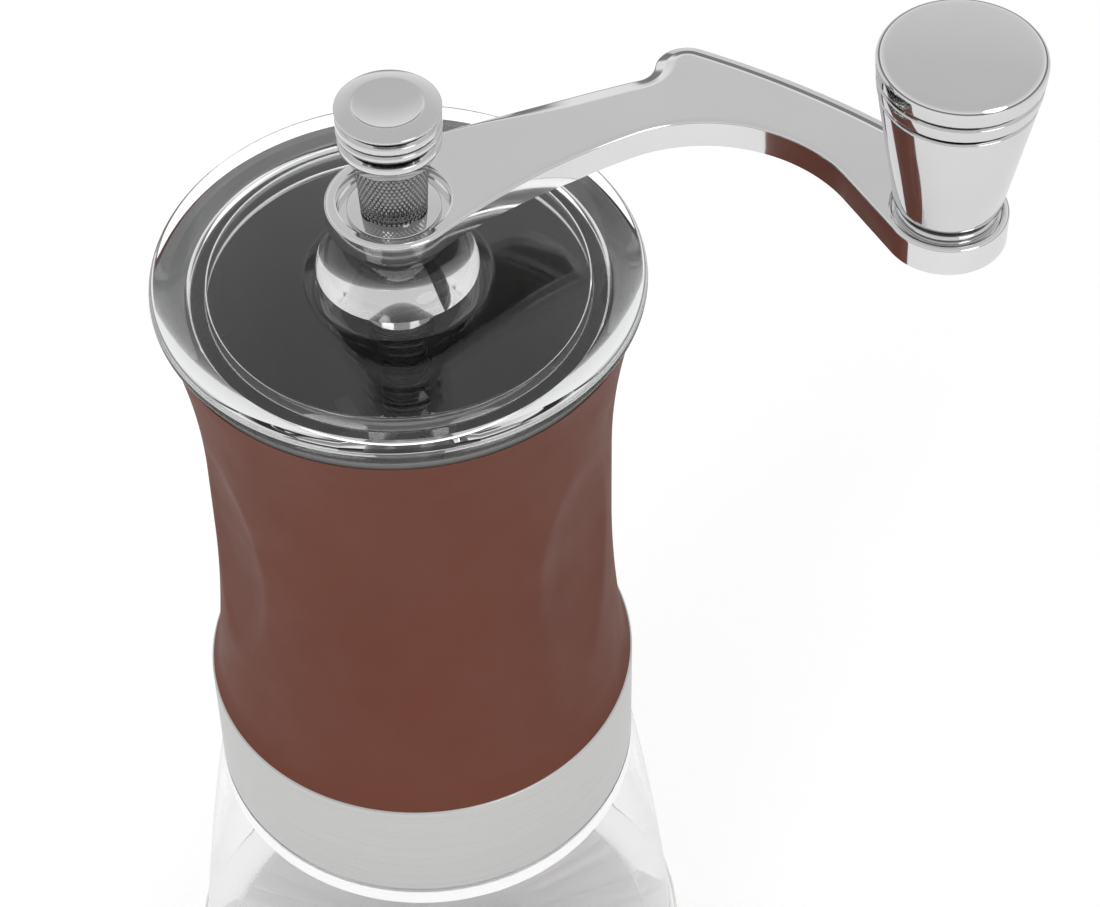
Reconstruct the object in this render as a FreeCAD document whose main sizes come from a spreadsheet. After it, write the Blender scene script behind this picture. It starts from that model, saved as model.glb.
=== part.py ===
import FreeCAD, Part
import math
import os
import Sketcher

# Manual coffee grinder: a glass jar with a soft foot, a metal band, a waisted
# grip over a hopper casing, a clear lid, and a crank with a tapered knob.
# Millimetres, +Z up. The origin is the centre of the foot's underside, on the
# drive shaft's axis, and the crank points along +X at rest.

SIZES = {
    # foot and jar
    "foot_radius": 48.3,
    "foot_lip_height": 6.0,
    "foot_floor": 2.0,
    "foot_wall": 1.0,
    "jar_fit_gap": 0.1,
    "jar_corner": 2.6,
    "jar_shoulder_radius": 38.3,
    "jar_flank_radius": 900.0,
    "jar_wall": 3.0,
    "jar_base": 4.5,
    "jar_inner_corner": 5.0,
    "jar_shoulder_gap": 0.4,
    "neck_radius": 33.3,
    "neck_wall": 3.0,
    "neck_height": 14.4,
    "thread_depth": 0.6,
    "thread_low": 3.0,
    "thread_rise": 4.0,
    "thread_band": 1.6,
    "thread_gap": 0.1,
    "gasket_height": 1.8,
    "gasket_gap": 0.2,
    # band, casing and grip
    "band_bottom": 71.5,
    "band_height": 23.5,
    "band_radius": 38.4,
    "band_wall": 2.0,
    "skirt_lift": 0.4,
    "skirt_wall": 2.4,
    "ledge_width": 2.9,
    "cavity_height": 8.5,
    "pocket_wall": 3.3,
    "funnel_rise": 2.0,
    "liner_wall": 2.0,
    "rim_radius": 38.5,
    "rim_crest": 0.8,
    "rim_crest_width": 1.5,
    "rim_seat_drop": 0.3,
    "rim_seat_width": 1.0,
    "rim_depth": 2.3,
    "rim_width": 4.3,
    "sleeve_height": 91.5,
    "sleeve_wall": 3.4,
    "sleeve_foot_radius": 38.1,
    "sleeve_lip_radius": 36.6,
    "sleeve_lip_height": 5.5,
    "sleeve_lip_curve": 16.0,
    "sleeve_top_radius": 38.8,
    "waist_radius": 34.55,
    "waist_low": 40.0,
    "waist_high": 55.0,
    "dimple_curve": 115.0,
    "dimple_depth": 2.1,
    "dimple_height": 45.0,
    "dimple_count": 6,
    # spider and bushes
    "spider_low": 18.7,
    "spider_high": 36.0,
    "hub_radius": 8.6,
    "hub_high": 54.5,
    "web_thick": 3.0,
    "web_count": 3,
    "bush_radius": 6.0,
    "bush_length": 10.0,
    "bush_flange": 1.0,
    "bush_flange_radius": 7.6,
    "run_gap": 0.05,
    "end_gap": 0.2,
    # burrs, retainer and screws
    "burr_foot": 9.5,
    "burr_height": 24.0,
    "burr_radius": 23.0,
    "burr_fit": 0.2,
    "throat_radius": 20.0,
    "outer_bore_low": 18.0,
    "outer_land": 4.5,
    "outer_bore_mid": 12.5,
    "outer_mid_height": 17.0,
    "outer_bore_top": 19.5,
    "flute_width": 1.6,
    "flute_count": 12,
    "inner_lift": 1.0,
    "inner_radius": 17.4,
    "inner_land": 3.0,
    "inner_height": 19.0,
    "inner_top_radius": 9.4,
    "inner_seat": 10.0,
    "spring_pocket": 6.7,
    "tooth_depth": 1.4,
    "tooth_lean": 27.0,
    "retainer_thick": 3.0,
    "retainer_bore": 19.6,
    "screw_count": 3,
    "screw_angle": 60.0,
    "screw_shank": 1.1,
    "screw_length": 8.0,
    "screw_head": 2.1,
    "screw_head_height": 1.6,
    "screw_slot": 0.7,
    # shaft and what it carries
    "shaft_radius": 4.0,
    "shaft_tail": 1.4,
    "shaft_square": 6.0,
    "shaft_thread": 3.0,
    "shaft_edge": 0.5,
    "square_gap": 0.1,
    "square_above_burr": 3.0,
    "clip_groove": 3.2,
    "clip_height": 1.0,
    "clip_radius": 6.6,
    "clip_opening": 60.0,
    "washer_height": 1.0,
    "washer_radius": 7.4,
    "spring_radius": 5.4,
    "spring_wire": 0.9,
    "spring_turns": 5,
    "plate_radius": 9.6,
    "plate_height": 2.9,
    "dial_radius": 18.0,
    "dial_height": 7.8,
    "dial_scallop": 2.4,
    "dial_count": 15,
    "click_count": 12,
    "burr_rise": 0.5,
    "burr_drop": 1.5,
    "travel_gap": 0.3,
    # lid
    "lid_radius": 40.4,
    "lid_flange": 3.9,
    "lid_edge": 1.0,
    "lid_lean": 31.5,
    "lid_seat_width": 1.25,
    "lid_underside": 1.0,
    "lid_skirt_radius": 33.7,
    "lid_skirt_bore": 31.2,
    "lid_skirt_depth": 1.85,
    "boss_radius": 15.4,
    "boss_top_radius": 10.0,
    "boss_height": 8.6,
    "boss_curve": 6.5,
    "boss_shoulder": 13.2,
    "boss_rise": 1.6,
    "lid_bush_radius": 5.5,
    "lid_bush_flange": 7.4,
    "lid_bush_flange_height": 0.4,
    # crank
    "arm_gap": 0.2,
    "arm_reach": 86.9,
    "arm_thick": 5.8,
    "arm_edge": 0.4,
    "arm_hub_radius": 11.0,
    "arm_hub_thick": 4.2,
    "arm_relief_end": 28.0,
    "arm_boss_radius": 8.4,
    "arm_boss_drop": 3.9,
    "arm_recess_radius": 9.1,
    "arm_recess_depth": 2.4,
    "arm_end_radius": 9.9,
    "arm_end_recess_radius": 8.8,
    "arm_end_recess": 0.8,
    "front_sweep": 110.0,
    "front_bend": 25.5,
    "run_lean": 1.9,
    "bow_height": 18.8,
    "back_sweep": 400.0,
    "step_rise": 1.0,
    "step_inner": 5.3,
    "peak_radius": 5.4,
    "peak_back": 40.7,
    "peak_height": 33.0,
    "back_run": 150.0,
    # nut and its washer
    "nut_washer_radius": 7.6,
    "nut_washer_height": 0.8,
    "nut_gap": 0.1,
    "nut_height": 21.6,
    "nut_foot_radius": 5.4,
    "nut_stem_radius": 5.9,
    "nut_stem_top": 11.0,
    "nut_rib_radius": 8.2,
    "nut_rib_low": 14.0,
    "nut_groove": 16.0,
    "nut_groove_depth": 0.8,
    "nut_groove_width": 0.5,
    "nut_head_radius": 8.4,
    "nut_head_edge": 0.8,
    "nut_dish_radius": 5.4,
    "nut_dish_depth": 0.9,
    "nut_roof": 4.0,
    # knob
    "pin_radius": 3.0,
    "pin_head_radius": 4.9,
    "pin_head_height": 3.0,
    "pin_length": 19.6,
    "pin_root_gap": 0.4,
    "knob_washer_radius": 8.2,
    "knob_washer_height": 1.8,
    "knob_spacer_radius": 7.4,
    "knob_spacer_height": 1.0,
    "knob_foot_radius": 8.6,
    "knob_foot_edge": 0.5,
    "knob_taper_radius": 12.4,
    "knob_taper_height": 21.9,
    "knob_radius": 12.9,
    "knob_groove": 0.5,
    "knob_height": 25.7,
    "knob_cavity_radius": 5.6,
    "cap_height": 4.2,
    "cap_crown": 0.4,
    "cap_overhang": 0.3,
    "cap_edge": 1.6,
    "cap_spigot": 2.0,
}

# Heights of the seats, written from the driving sizes.
SLEEVE_Z = "(Dims.band_bottom + Dims.band_height)"
RIM_Z = f"({SLEEVE_Z} + Dims.sleeve_height)"
LID_SEAT_Z = f"({RIM_Z} - Dims.rim_seat_drop)"
LID_Z = f"({LID_SEAT_Z} + Dims.lid_flange)"
BURR_Z = f"({SLEEVE_Z} - Dims.burr_foot)"
RETAINER_Z = f"({BURR_Z} - Dims.retainer_thick)"
INNER_Z = f"({BURR_Z} + Dims.inner_lift)"
PLATE_Z = f"({INNER_Z} - Dims.plate_height)"
DIAL_Z = f"({PLATE_Z} - Dims.nut_gap - Dims.dial_height)"
DIAL_CLIP_Z = f"({DIAL_Z} - Dims.burr_drop - Dims.travel_gap - Dims.clip_height)"
LOW_SQUARE_Z = f"({DIAL_Z} + Dims.dial_height + Dims.burr_rise + Dims.travel_gap)"
HIGH_SQUARE_Z = f"({INNER_Z} + Dims.inner_height + Dims.square_above_burr)"
LOW_BUSH_Z = f"({SLEEVE_Z} + Dims.spider_low)"
HIGH_BUSH_Z = f"({SLEEVE_Z} + Dims.hub_high - Dims.bush_length)"
THRUST_Z = f"({LOW_BUSH_Z} - Dims.bush_flange - Dims.end_gap - Dims.washer_height)"
CLIP_Z = f"({HIGH_BUSH_Z} + Dims.bush_length + Dims.bush_flange + Dims.end_gap)"
ARM_FOOT_Z = f"({LID_Z} + Dims.boss_height + Dims.lid_bush_flange_height + Dims.arm_gap)"
ARM_TOP_Z = f"({ARM_FOOT_Z} + Dims.arm_boss_drop + Dims.arm_hub_thick)"
ARM_Z = f"({ARM_TOP_Z} - Dims.arm_thick)"
NUT_WASHER_Z = f"({ARM_TOP_Z} - Dims.arm_recess_depth)"
NUT_Z = f"({NUT_WASHER_Z} + Dims.nut_washer_height + Dims.nut_gap)"
KNOB_WASHER_Z = f"({ARM_TOP_Z} - Dims.arm_end_recess)"
KNOB_SPACER_Z = f"({KNOB_WASHER_Z} + Dims.knob_washer_height)"
KNOB_Z = f"({KNOB_SPACER_Z} + Dims.knob_spacer_height + Dims.end_gap)"
CAP_Z = f"({KNOB_Z} + Dims.knob_height)"
PIN_SEAT_Z = f"({KNOB_Z} + Dims.pin_length)"
JAR_Z = "Dims.foot_floor"
SHOULDER_Z = "(Dims.band_bottom - Dims.jar_shoulder_gap)"
GASKET_Z = f"({SHOULDER_Z} + Dims.neck_height)"
LEDGE_Z = f"({GASKET_Z} + Dims.gasket_height + Dims.gasket_gap)"

doc = FreeCAD.newDocument("coffee_grinder")
sheet = doc.addObject("Spreadsheet::Sheet", "Dims")
for row, (alias, value) in enumerate(SIZES.items(), start=1):
    sheet.set(f"A{row}", alias)
    sheet.set(f"B{row}", str(value))
    sheet.setAlias(f"B{row}", alias)
doc.recompute()

parts = []


def size(name):
    """The value of one cell of the sheet."""
    return float(sheet.get(name))


def worth(expression):
    """The number that an expression of sheet cells comes to."""
    result = sheet.evalExpression(expression)
    return float(getattr(result, "Value", result))


def new_body(name, height="0"):
    """An empty body whose own zero stands at a height above the foot."""
    body = doc.addObject("PartDesign::Body", name)
    body.Label = name
    body.setExpression("Placement.Base.z", height)
    parts.append(body)
    return body


def plane(body, role):
    """One of a body's own origin planes or axes, by its role."""
    for feature in body.Origin.OriginFeatures:
        if feature.Role == role:
            return feature


def new_sketch(body, name, role="XZ_Plane"):
    """A sketch on one of the body's origin planes."""
    sketch = body.newObject("Sketcher::SketchObject", name)
    sketch.AttachmentSupport = [(plane(body, role), "")]
    sketch.MapMode = "FlatFace"
    return sketch


def arc_to(across, up, radius, side):
    """An outline's next point, reached by an arc that bulges to a side."""
    return (across, up, radius, side)


def draw(sketch, outline):
    """Draw a closed outline and pin each of its points to the sheet."""
    places = [FreeCAD.Vector(worth(p[0]), worth(p[1]), 0) for p in outline]
    rules = []
    bound = []
    for i, here in enumerate(places):
        step = outline[(i + 1) % len(outline)]
        there = places[(i + 1) % len(places)]
        if len(step) == 2:
            sketch.addGeometry(Part.LineSegment(here, there), False)
            continue
        radius = worth(step[2])
        chord = there - here
        middle = (here + there) * 0.5
        normal = FreeCAD.Vector(-chord.y, chord.x, 0).normalize()
        sagitta = radius - math.sqrt(radius ** 2 - chord.Length ** 2 / 4)
        crown = middle + normal * sagitta * step[3]
        ends = (here, there) if step[3] < 0 else (there, here)
        sketch.addGeometry(Part.Arc(ends[0], crown, ends[1]), False)
        rules.append(Sketcher.Constraint("Radius", i, radius))
        bound.append(step[2])
    starts = []
    for i in range(len(places)):
        edge = sketch.Geometry[i]
        starts.append(1 if edge.StartPoint.isEqual(places[i], 1e-6) else 2)
    for i in range(len(places)):
        after = (i + 1) % len(places)
        rules.append(Sketcher.Constraint("Coincident", i, 3 - starts[i], after, starts[after]))
        bound.append(None)
    for i, here in enumerate(places):
        for kind, axis, value, text in (("DistanceX", -2, here.x, outline[i][0]),
                                        ("DistanceY", -1, here.y, outline[i][1])):
            if text == "0":
                rules.append(Sketcher.Constraint("PointOnObject", i, starts[i], axis))
                bound.append(None)
            else:
                rules.append(Sketcher.Constraint(kind, -1, 1, i, starts[i], value))
                bound.append(text)
    sketch.addConstraint(rules)
    for index, text in enumerate(bound):
        if text is not None:
            sketch.setExpression(f"Constraints[{index}]", text)


def turned(name, outline, height="0", angle=360):
    """A body made by turning an outline of (radius, height) about its Z axis."""
    body = new_body(name, height)
    turn(body, name + "_turn", outline, angle)
    return body


def turn(body, name, outline, angle=360, kind="PartDesign::Revolution"):
    """Turn an outline about the body's Z axis, adding or cutting."""
    sketch = new_sketch(body, name + "_sketch")
    draw(sketch, outline)
    feature = body.newObject(kind, name)
    feature.Profile = sketch
    feature.ReferenceAxis = (sketch, ["V_Axis"])
    feature.Angle = angle
    sketch.Visibility = False
    return feature


def primitive(body, kind, name, sizes, x="0", y="0", z="0", axis=None, degrees=0.0):
    """Add or cut a primitive whose sizes and place come from the sheet."""
    feature = body.newObject(f"PartDesign::{kind}", name)
    feature.AttachmentSupport = [(plane(body, "XY_Plane"), "")]
    feature.MapMode = "FlatFace"
    if axis is not None:
        turned_by = FreeCAD.Rotation(FreeCAD.Vector(*axis), degrees)
        feature.AttachmentOffset = FreeCAD.Placement(FreeCAD.Vector(), turned_by)
    for key, text in sizes.items():
        feature.setExpression(key, text)
    for key, text in (("x", x), ("y", y), ("z", z)):
        feature.setExpression(f"AttachmentOffset.Base.{key}", text)
    return feature


def ring_of(body, feature, count):
    """Repeat a feature evenly about the body's Z axis."""
    pattern = body.newObject("PartDesign::PolarPattern", feature.Name + "_ring")
    pattern.Originals = [feature]
    pattern.Axis = (plane(body, "Z_Axis"), [""])
    pattern.Angle = 360
    pattern.setExpression("Occurrences", count)
    body.Tip = pattern
    doc.recompute()
    return pattern


def washer(name, bore, radius, thick, height):
    """A flat ring."""
    outline = [(bore, "0"), (radius, "0"), (radius, thick), (bore, thick)]
    return turned(name, outline, height)


def flats(body, name, low, high):
    """Cut a round shaft to a square between two heights."""
    sizes = {"Length": "2 * Dims.shaft_radius", "Width": "4 * Dims.shaft_radius",
             "Height": f"({high}) - ({low})"}
    side = primitive(body, "SubtractiveBox", name, sizes,
                     "Dims.shaft_square / 2", "-2 * Dims.shaft_radius", low)
    ring_of(body, side, "4")


def square_hole(body, name, low, high):
    """Cut the hole that fits the shaft's square."""
    across = "(Dims.shaft_square + 2 * Dims.square_gap)"
    sizes = {"Length": across, "Width": across, "Height": f"({high}) - ({low})"}
    primitive(body, "SubtractiveBox", name, sizes, f"-{across} / 2", f"-{across} / 2", low)


def rise_curve(rise, run):
    """Radius of the arc that leaves a vertical line and flares by rise over run."""
    return f"((({run}) ^ 2 + ({rise}) ^ 2) / (2 * ({rise})))"


# Where the casing's rim widens over the grip, above the grip's foot.
RIM_STEP = "(Dims.sleeve_height - Dims.rim_depth)"
# Radii of the arcs above and below the waist, shared by the grip and the casing.
TOP_FLARE = rise_curve("Dims.sleeve_top_radius - Dims.waist_radius",
                       "Dims.sleeve_height - Dims.waist_high")
HOPPER_FLARE = rise_curve("Dims.sleeve_top_radius - Dims.waist_radius",
                          f"{RIM_STEP} - Dims.waist_high")
LOW_FLARE = rise_curve("Dims.sleeve_lip_radius - Dims.waist_radius",
                       "Dims.waist_low - Dims.sleeve_lip_height")


def make_jar_foot():
    """Soft cup under the jar that keeps it from sliding."""
    bore = "Dims.foot_radius - Dims.foot_wall"
    turned("jar_foot", [
        ("0", "0"), ("Dims.foot_radius - Dims.foot_wall", "0"),
        arc_to("Dims.foot_radius", "Dims.foot_wall", "Dims.foot_wall", -1),
        ("Dims.foot_radius", "Dims.foot_lip_height"), (bore, "Dims.foot_lip_height"),
        (bore, "Dims.foot_floor"), ("0", "Dims.foot_floor")])


def make_jar():
    """Clear jar for the ground coffee, with a threaded neck."""
    base = "Dims.foot_radius - Dims.foot_wall - Dims.jar_fit_gap"
    shoulder = f"{SHOULDER_Z} - {JAR_Z}"
    neck_bore = "Dims.neck_radius - Dims.neck_wall"
    inner_base = f"{base} - Dims.jar_wall"
    jar = turned("jar", [
        ("0", "0"), (f"{base} - Dims.jar_corner", "0"),
        arc_to(base, "Dims.jar_corner", "Dims.jar_corner", -1),
        arc_to("Dims.jar_shoulder_radius", shoulder, "Dims.jar_flank_radius", -1),
        ("Dims.neck_radius", shoulder),
        ("Dims.neck_radius", f"{shoulder} + Dims.neck_height"),
        (neck_bore, f"{shoulder} + Dims.neck_height"),
        (neck_bore, f"{shoulder} - Dims.jar_wall"),
        ("Dims.jar_shoulder_radius - Dims.jar_wall", f"{shoulder} - 2 * Dims.jar_wall"),
        arc_to(inner_base, "Dims.jar_base + Dims.jar_inner_corner", "Dims.jar_flank_radius", 1),
        arc_to(f"{inner_base} - Dims.jar_inner_corner", "Dims.jar_base", "Dims.jar_inner_corner", 1),
        ("0", "Dims.jar_base")], JAR_Z)
    low = f"{shoulder} + Dims.thread_low"
    out = "Dims.neck_radius + Dims.thread_depth - Dims.thread_gap"
    for turn_number in (0, 1):
        foot = f"{low} + {turn_number} * Dims.thread_rise"
        turn(jar, f"jar_thread_{turn_number}", [
            ("Dims.neck_radius - Dims.thread_depth", foot),
            ("Dims.neck_radius", foot),
            (out, f"{foot} + Dims.thread_depth"),
            (out, f"{foot} + Dims.thread_band - Dims.thread_depth"),
            ("Dims.neck_radius", f"{foot} + Dims.thread_band"),
            ("Dims.neck_radius - Dims.thread_depth", f"{foot} + Dims.thread_band")])


def make_jar_gasket():
    """Soft ring between the jar's neck and the casing."""
    washer("jar_gasket", "Dims.neck_radius - Dims.neck_wall", "Dims.neck_radius",
           "Dims.gasket_height", GASKET_Z)


def make_trim_band():
    """Straight metal band round the casing's skirt."""
    edge = "Dims.skirt_lift"
    turned("trim_band", [
        ("Dims.band_radius - Dims.band_wall", "0"), (f"Dims.band_radius - {edge}", "0"),
        arc_to("Dims.band_radius", edge, edge, -1),
        ("Dims.band_radius", f"Dims.band_height - {edge}"),
        arc_to(f"Dims.band_radius - {edge}", "Dims.band_height", edge, -1),
        ("Dims.band_radius - Dims.band_wall", "Dims.band_height")], "Dims.band_bottom")


def make_hopper_liner():
    """Inner casing: hopper, burr pocket, bearing spider and jar socket in one moulding."""
    lip = "Dims.sleeve_lip_radius - Dims.sleeve_wall"
    waist = "Dims.waist_radius - Dims.sleeve_wall"
    top = "Dims.sleeve_top_radius - Dims.sleeve_wall"
    skirt = "Dims.band_radius - Dims.band_wall"
    skirt_foot = "Dims.skirt_lift - Dims.band_height"
    pocket = "Dims.burr_radius + Dims.burr_fit"
    pocket_top = "Dims.burr_height - Dims.burr_foot"
    ledge = f"{LEDGE_Z} - {SLEEVE_Z}"
    ledge_bore = f"{skirt} - Dims.skirt_wall - Dims.ledge_width"
    mouth = "Dims.rim_radius - Dims.rim_width"
    crest = "Dims.sleeve_height + Dims.rim_crest"
    seat = "Dims.sleeve_height - Dims.rim_seat_drop"
    overhang = "(Dims.sleeve_top_radius - Dims.rim_radius)"
    foot = f"Dims.sleeve_height - Dims.rim_depth * {overhang} / Dims.sleeve_wall"
    liner = turned("hopper_liner", [
        (skirt, skirt_foot), (skirt, "0"), (lip, "0"), (lip, "Dims.sleeve_lip_height"),
        arc_to(waist, "Dims.waist_low", LOW_FLARE, 1),
        (waist, "Dims.waist_high"),
        arc_to(top, RIM_STEP, HOPPER_FLARE, 1), ("Dims.rim_radius", foot), ("Dims.rim_radius", crest),
        ("Dims.rim_radius - Dims.rim_crest_width", crest), (f"{mouth} + Dims.rim_seat_width", seat),
        (mouth, seat), (mouth, RIM_STEP), (f"{top} - Dims.liner_wall", RIM_STEP),
        arc_to(f"{waist} - Dims.liner_wall", "Dims.waist_high", HOPPER_FLARE, -1),
        (f"{waist} - Dims.liner_wall", "Dims.waist_low"),
        ("Dims.throat_radius", f"{pocket_top} + Dims.funnel_rise"),
        ("Dims.throat_radius", pocket_top), (pocket, pocket_top),
        (pocket, "-Dims.burr_foot"), (f"{pocket} + Dims.pocket_wall", "-Dims.burr_foot"),
        (f"{pocket} + Dims.pocket_wall", "Dims.cavity_height"),
        (ledge_bore, "Dims.cavity_height"), (ledge_bore, ledge),
        (f"{skirt} - Dims.skirt_wall", ledge), (f"{skirt} - Dims.skirt_wall", skirt_foot)],
        SLEEVE_Z)
    web = new_sketch(liner, "spider_web_sketch")
    draw(web, [
        ("Dims.bush_radius - Dims.web_thick", "Dims.spider_low"),
        ("Dims.throat_radius + Dims.liner_wall", "Dims.spider_low"),
        (f"{waist} - Dims.liner_wall / 2", "Dims.spider_high + Dims.web_thick"),
        (f"{waist} - 2 * Dims.liner_wall", "Dims.spider_high + Dims.web_thick"),
        ("Dims.hub_radius", "Dims.spider_high"),
        ("Dims.bush_radius - Dims.web_thick", "Dims.spider_high")])
    pad = liner.newObject("PartDesign::Pad", "spider_web")
    pad.Profile = web
    pad.Midplane = True
    pad.setExpression("Length", "Dims.web_thick")
    doc.recompute()
    ring_of(liner, pad, "Dims.web_count")
    turn(liner, "spider_hub", [
        ("Dims.bush_radius - Dims.web_thick", "Dims.spider_low"),
        ("Dims.hub_radius", "Dims.spider_low"), ("Dims.hub_radius", "Dims.hub_high"),
        ("Dims.bush_radius - Dims.web_thick", "Dims.hub_high")])
    doc.recompute()
    primitive(liner, "SubtractiveCylinder", "spider_bore",
              {"Radius": "Dims.bush_radius", "Height": "Dims.hub_high - Dims.spider_low"},
              z="Dims.spider_low")
    pitch = f"({pocket} + Dims.pocket_wall / 2)"
    pilot = primitive(liner, "SubtractiveCylinder", "screw_pilot",
                      {"Radius": "Dims.screw_shank",
                       "Height": "Dims.screw_length - Dims.retainer_thick + Dims.end_gap"},
                      f"{pitch} * cos(Dims.screw_angle)", f"{pitch} * sin(Dims.screw_angle)",
                      "-Dims.burr_foot")
    ring_of(liner, pilot, "Dims.screw_count")


def make_grip_sleeve():
    """Soft waisted grip with shallow thumb dimples."""
    lip = "Dims.sleeve_lip_radius - Dims.sleeve_wall"
    waist = "Dims.waist_radius - Dims.sleeve_wall"
    top = "Dims.sleeve_top_radius - Dims.sleeve_wall"
    sleeve = turned("grip_sleeve", [
        (lip, "0"), ("Dims.sleeve_foot_radius", "0"),
        arc_to("Dims.sleeve_lip_radius", "Dims.sleeve_lip_height", "Dims.sleeve_lip_curve", 1),
        arc_to("Dims.waist_radius", "Dims.waist_low", LOW_FLARE, 1),
        ("Dims.waist_radius", "Dims.waist_high"),
        arc_to("Dims.sleeve_top_radius", "Dims.sleeve_height", TOP_FLARE, 1),
        (top, RIM_STEP),
        arc_to(waist, "Dims.waist_high", HOPPER_FLARE, -1),
        (waist, "Dims.waist_low"),
        arc_to(lip, "Dims.sleeve_lip_height", LOW_FLARE, -1)], SLEEVE_Z)
    dimple = primitive(sleeve, "SubtractiveSphere", "thumb_dimple",
                       {"Radius": "Dims.dimple_curve"},
                       y="-(Dims.waist_radius - Dims.dimple_depth + Dims.dimple_curve)",
                       z="Dims.dimple_height")
    ring_of(sleeve, dimple, "Dims.dimple_count")


def make_bushes():
    """Plain bushes at both ends of the spider's hub, with their flanges outside it."""
    bore = "Dims.shaft_radius + Dims.run_gap"
    turned("lower_bush", [
        (bore, "-Dims.bush_flange"), ("Dims.bush_flange_radius", "-Dims.bush_flange"),
        ("Dims.bush_flange_radius", "0"), ("Dims.bush_radius", "0"),
        ("Dims.bush_radius", "Dims.bush_length"), (bore, "Dims.bush_length")], LOW_BUSH_Z)
    flange_top = "Dims.bush_length + Dims.bush_flange"
    turned("upper_bush", [
        (bore, "0"), ("Dims.bush_radius", "0"), ("Dims.bush_radius", "Dims.bush_length"),
        ("Dims.bush_flange_radius", "Dims.bush_length"),
        ("Dims.bush_flange_radius", flange_top), (bore, flange_top)], HIGH_BUSH_Z)


def make_outer_burr():
    """Fixed ceramic ring with a fluted, tapering bore."""
    burr = turned("outer_burr", [
        ("Dims.outer_bore_low", "0"), ("Dims.burr_radius", "0"),
        ("Dims.burr_radius", "Dims.burr_height"), ("Dims.outer_bore_top", "Dims.burr_height"),
        ("Dims.outer_bore_mid", "Dims.outer_mid_height"),
        ("Dims.outer_bore_low", "Dims.outer_land")], BURR_Z)
    flute = primitive(burr, "SubtractiveBox", "outer_flute",
                      {"Length": "2 * Dims.flute_width", "Width": "Dims.flute_width",
                       "Height": "Dims.burr_height"},
                      "Dims.outer_bore_mid - Dims.flute_width", "-Dims.flute_width / 2",
                      "Dims.outer_land")
    ring_of(burr, flute, "Dims.flute_count")


def make_inner_burr():
    """Ceramic cone that turns with the shaft and slides on its square."""
    burr = turned("inner_burr", [
        ("0", "0"), ("Dims.inner_radius", "0"), ("Dims.inner_radius", "Dims.inner_land"),
        ("Dims.inner_top_radius", "Dims.inner_height"),
        ("Dims.spring_pocket", "Dims.inner_height"), ("Dims.spring_pocket", "Dims.inner_seat"),
        ("0", "Dims.inner_seat")], INNER_Z)
    square_hole(burr, "inner_square", "0", "Dims.inner_seat")
    tooth = primitive(burr, "SubtractiveBox", "inner_tooth",
                      {"Length": "2 * Dims.tooth_depth", "Width": "Dims.flute_width",
                       "Height": "2 * Dims.inner_height"},
                      "Dims.inner_radius - Dims.tooth_depth", "-Dims.flute_width / 2",
                      "0", (0, 1, 0), -size("tooth_lean"))
    ring_of(burr, tooth, "Dims.flute_count")


def make_retainer():
    """Ring that holds the outer burr up in its pocket, and its screws."""
    pocket = "Dims.burr_radius + Dims.burr_fit"
    pitch = f"({pocket} + Dims.pocket_wall / 2)"
    ring = washer("burr_retainer", "Dims.retainer_bore", f"{pocket} + Dims.pocket_wall",
                  "Dims.retainer_thick", RETAINER_Z)
    hole = primitive(ring, "SubtractiveCylinder", "screw_hole",
                     {"Radius": "Dims.screw_shank", "Height": "Dims.retainer_thick"},
                     f"{pitch} * cos(Dims.screw_angle)", f"{pitch} * sin(Dims.screw_angle)")
    ring_of(ring, hole, "Dims.screw_count")

    head = Part.makeCylinder(size("screw_head"), size("screw_head_height"),
                             FreeCAD.Vector(0, 0, -size("screw_head_height")))
    slot = Part.makeBox(2 * size("screw_head"), size("screw_slot"), size("screw_slot"),
                        FreeCAD.Vector(-size("screw_head"), -size("screw_slot") / 2,
                                       -size("screw_head_height")))
    shank = Part.makeCylinder(size("screw_shank"), size("screw_length"))
    screw = head.cut(slot).fuse(shank)
    screw.translate(FreeCAD.Vector(worth(pitch), 0, 0))
    group = []
    for number in range(int(size("screw_count"))):
        copy = screw.copy()
        angle = size("screw_angle") + 360.0 * number / size("screw_count")
        copy.rotate(FreeCAD.Vector(), FreeCAD.Vector(0, 0, 1), angle)
        group.append(copy)
    screws = doc.addObject("Part::Feature", "retainer_screws")
    screws.Label = "retainer_screws"
    screws.Shape = Part.makeCompound(group)
    screws.setExpression("Placement.Base.z", RETAINER_Z)
    parts.append(screws)


def make_drive_shaft():
    """Steel shaft: thread and square below, square and thread above."""
    foot = f"({DIAL_CLIP_Z} - Dims.shaft_tail)"
    edge = "Dims.shaft_edge"
    top = f"({NUT_Z} + Dims.nut_height - Dims.nut_roof - {edge}) - {foot}"
    low = f"{LOW_SQUARE_Z} - {foot}"
    high = f"{ARM_FOOT_Z} - {foot}"
    floor = f"{NUT_WASHER_Z} - {foot}"
    groove = f"{CLIP_Z} - {foot}"
    bore = f"Dims.shaft_thread - {edge}"
    tail = "Dims.shaft_tail"
    shaft = turned("drive_shaft", [
        ("0", "0"), (bore, "0"), ("Dims.shaft_thread", edge), ("Dims.shaft_thread", tail),
        (bore, tail), (bore, f"{tail} + Dims.clip_height"),
        ("Dims.shaft_thread", f"{tail} + Dims.clip_height"),
        ("Dims.shaft_thread", low), ("Dims.shaft_radius", low),
        ("Dims.shaft_radius", groove), ("Dims.clip_groove", groove),
        ("Dims.clip_groove", f"{groove} + Dims.clip_height"),
        ("Dims.shaft_radius", f"{groove} + Dims.clip_height"),
        ("Dims.shaft_radius", floor), ("Dims.shaft_thread", floor),
        ("Dims.shaft_thread", f"{top} - {edge}"), (bore, top), ("0", top)], foot)
    doc.recompute()
    flats(shaft, "low_flat", low, f"{HIGH_SQUARE_Z} - {foot}")
    flats(shaft, "high_flat", high, floor)


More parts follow.
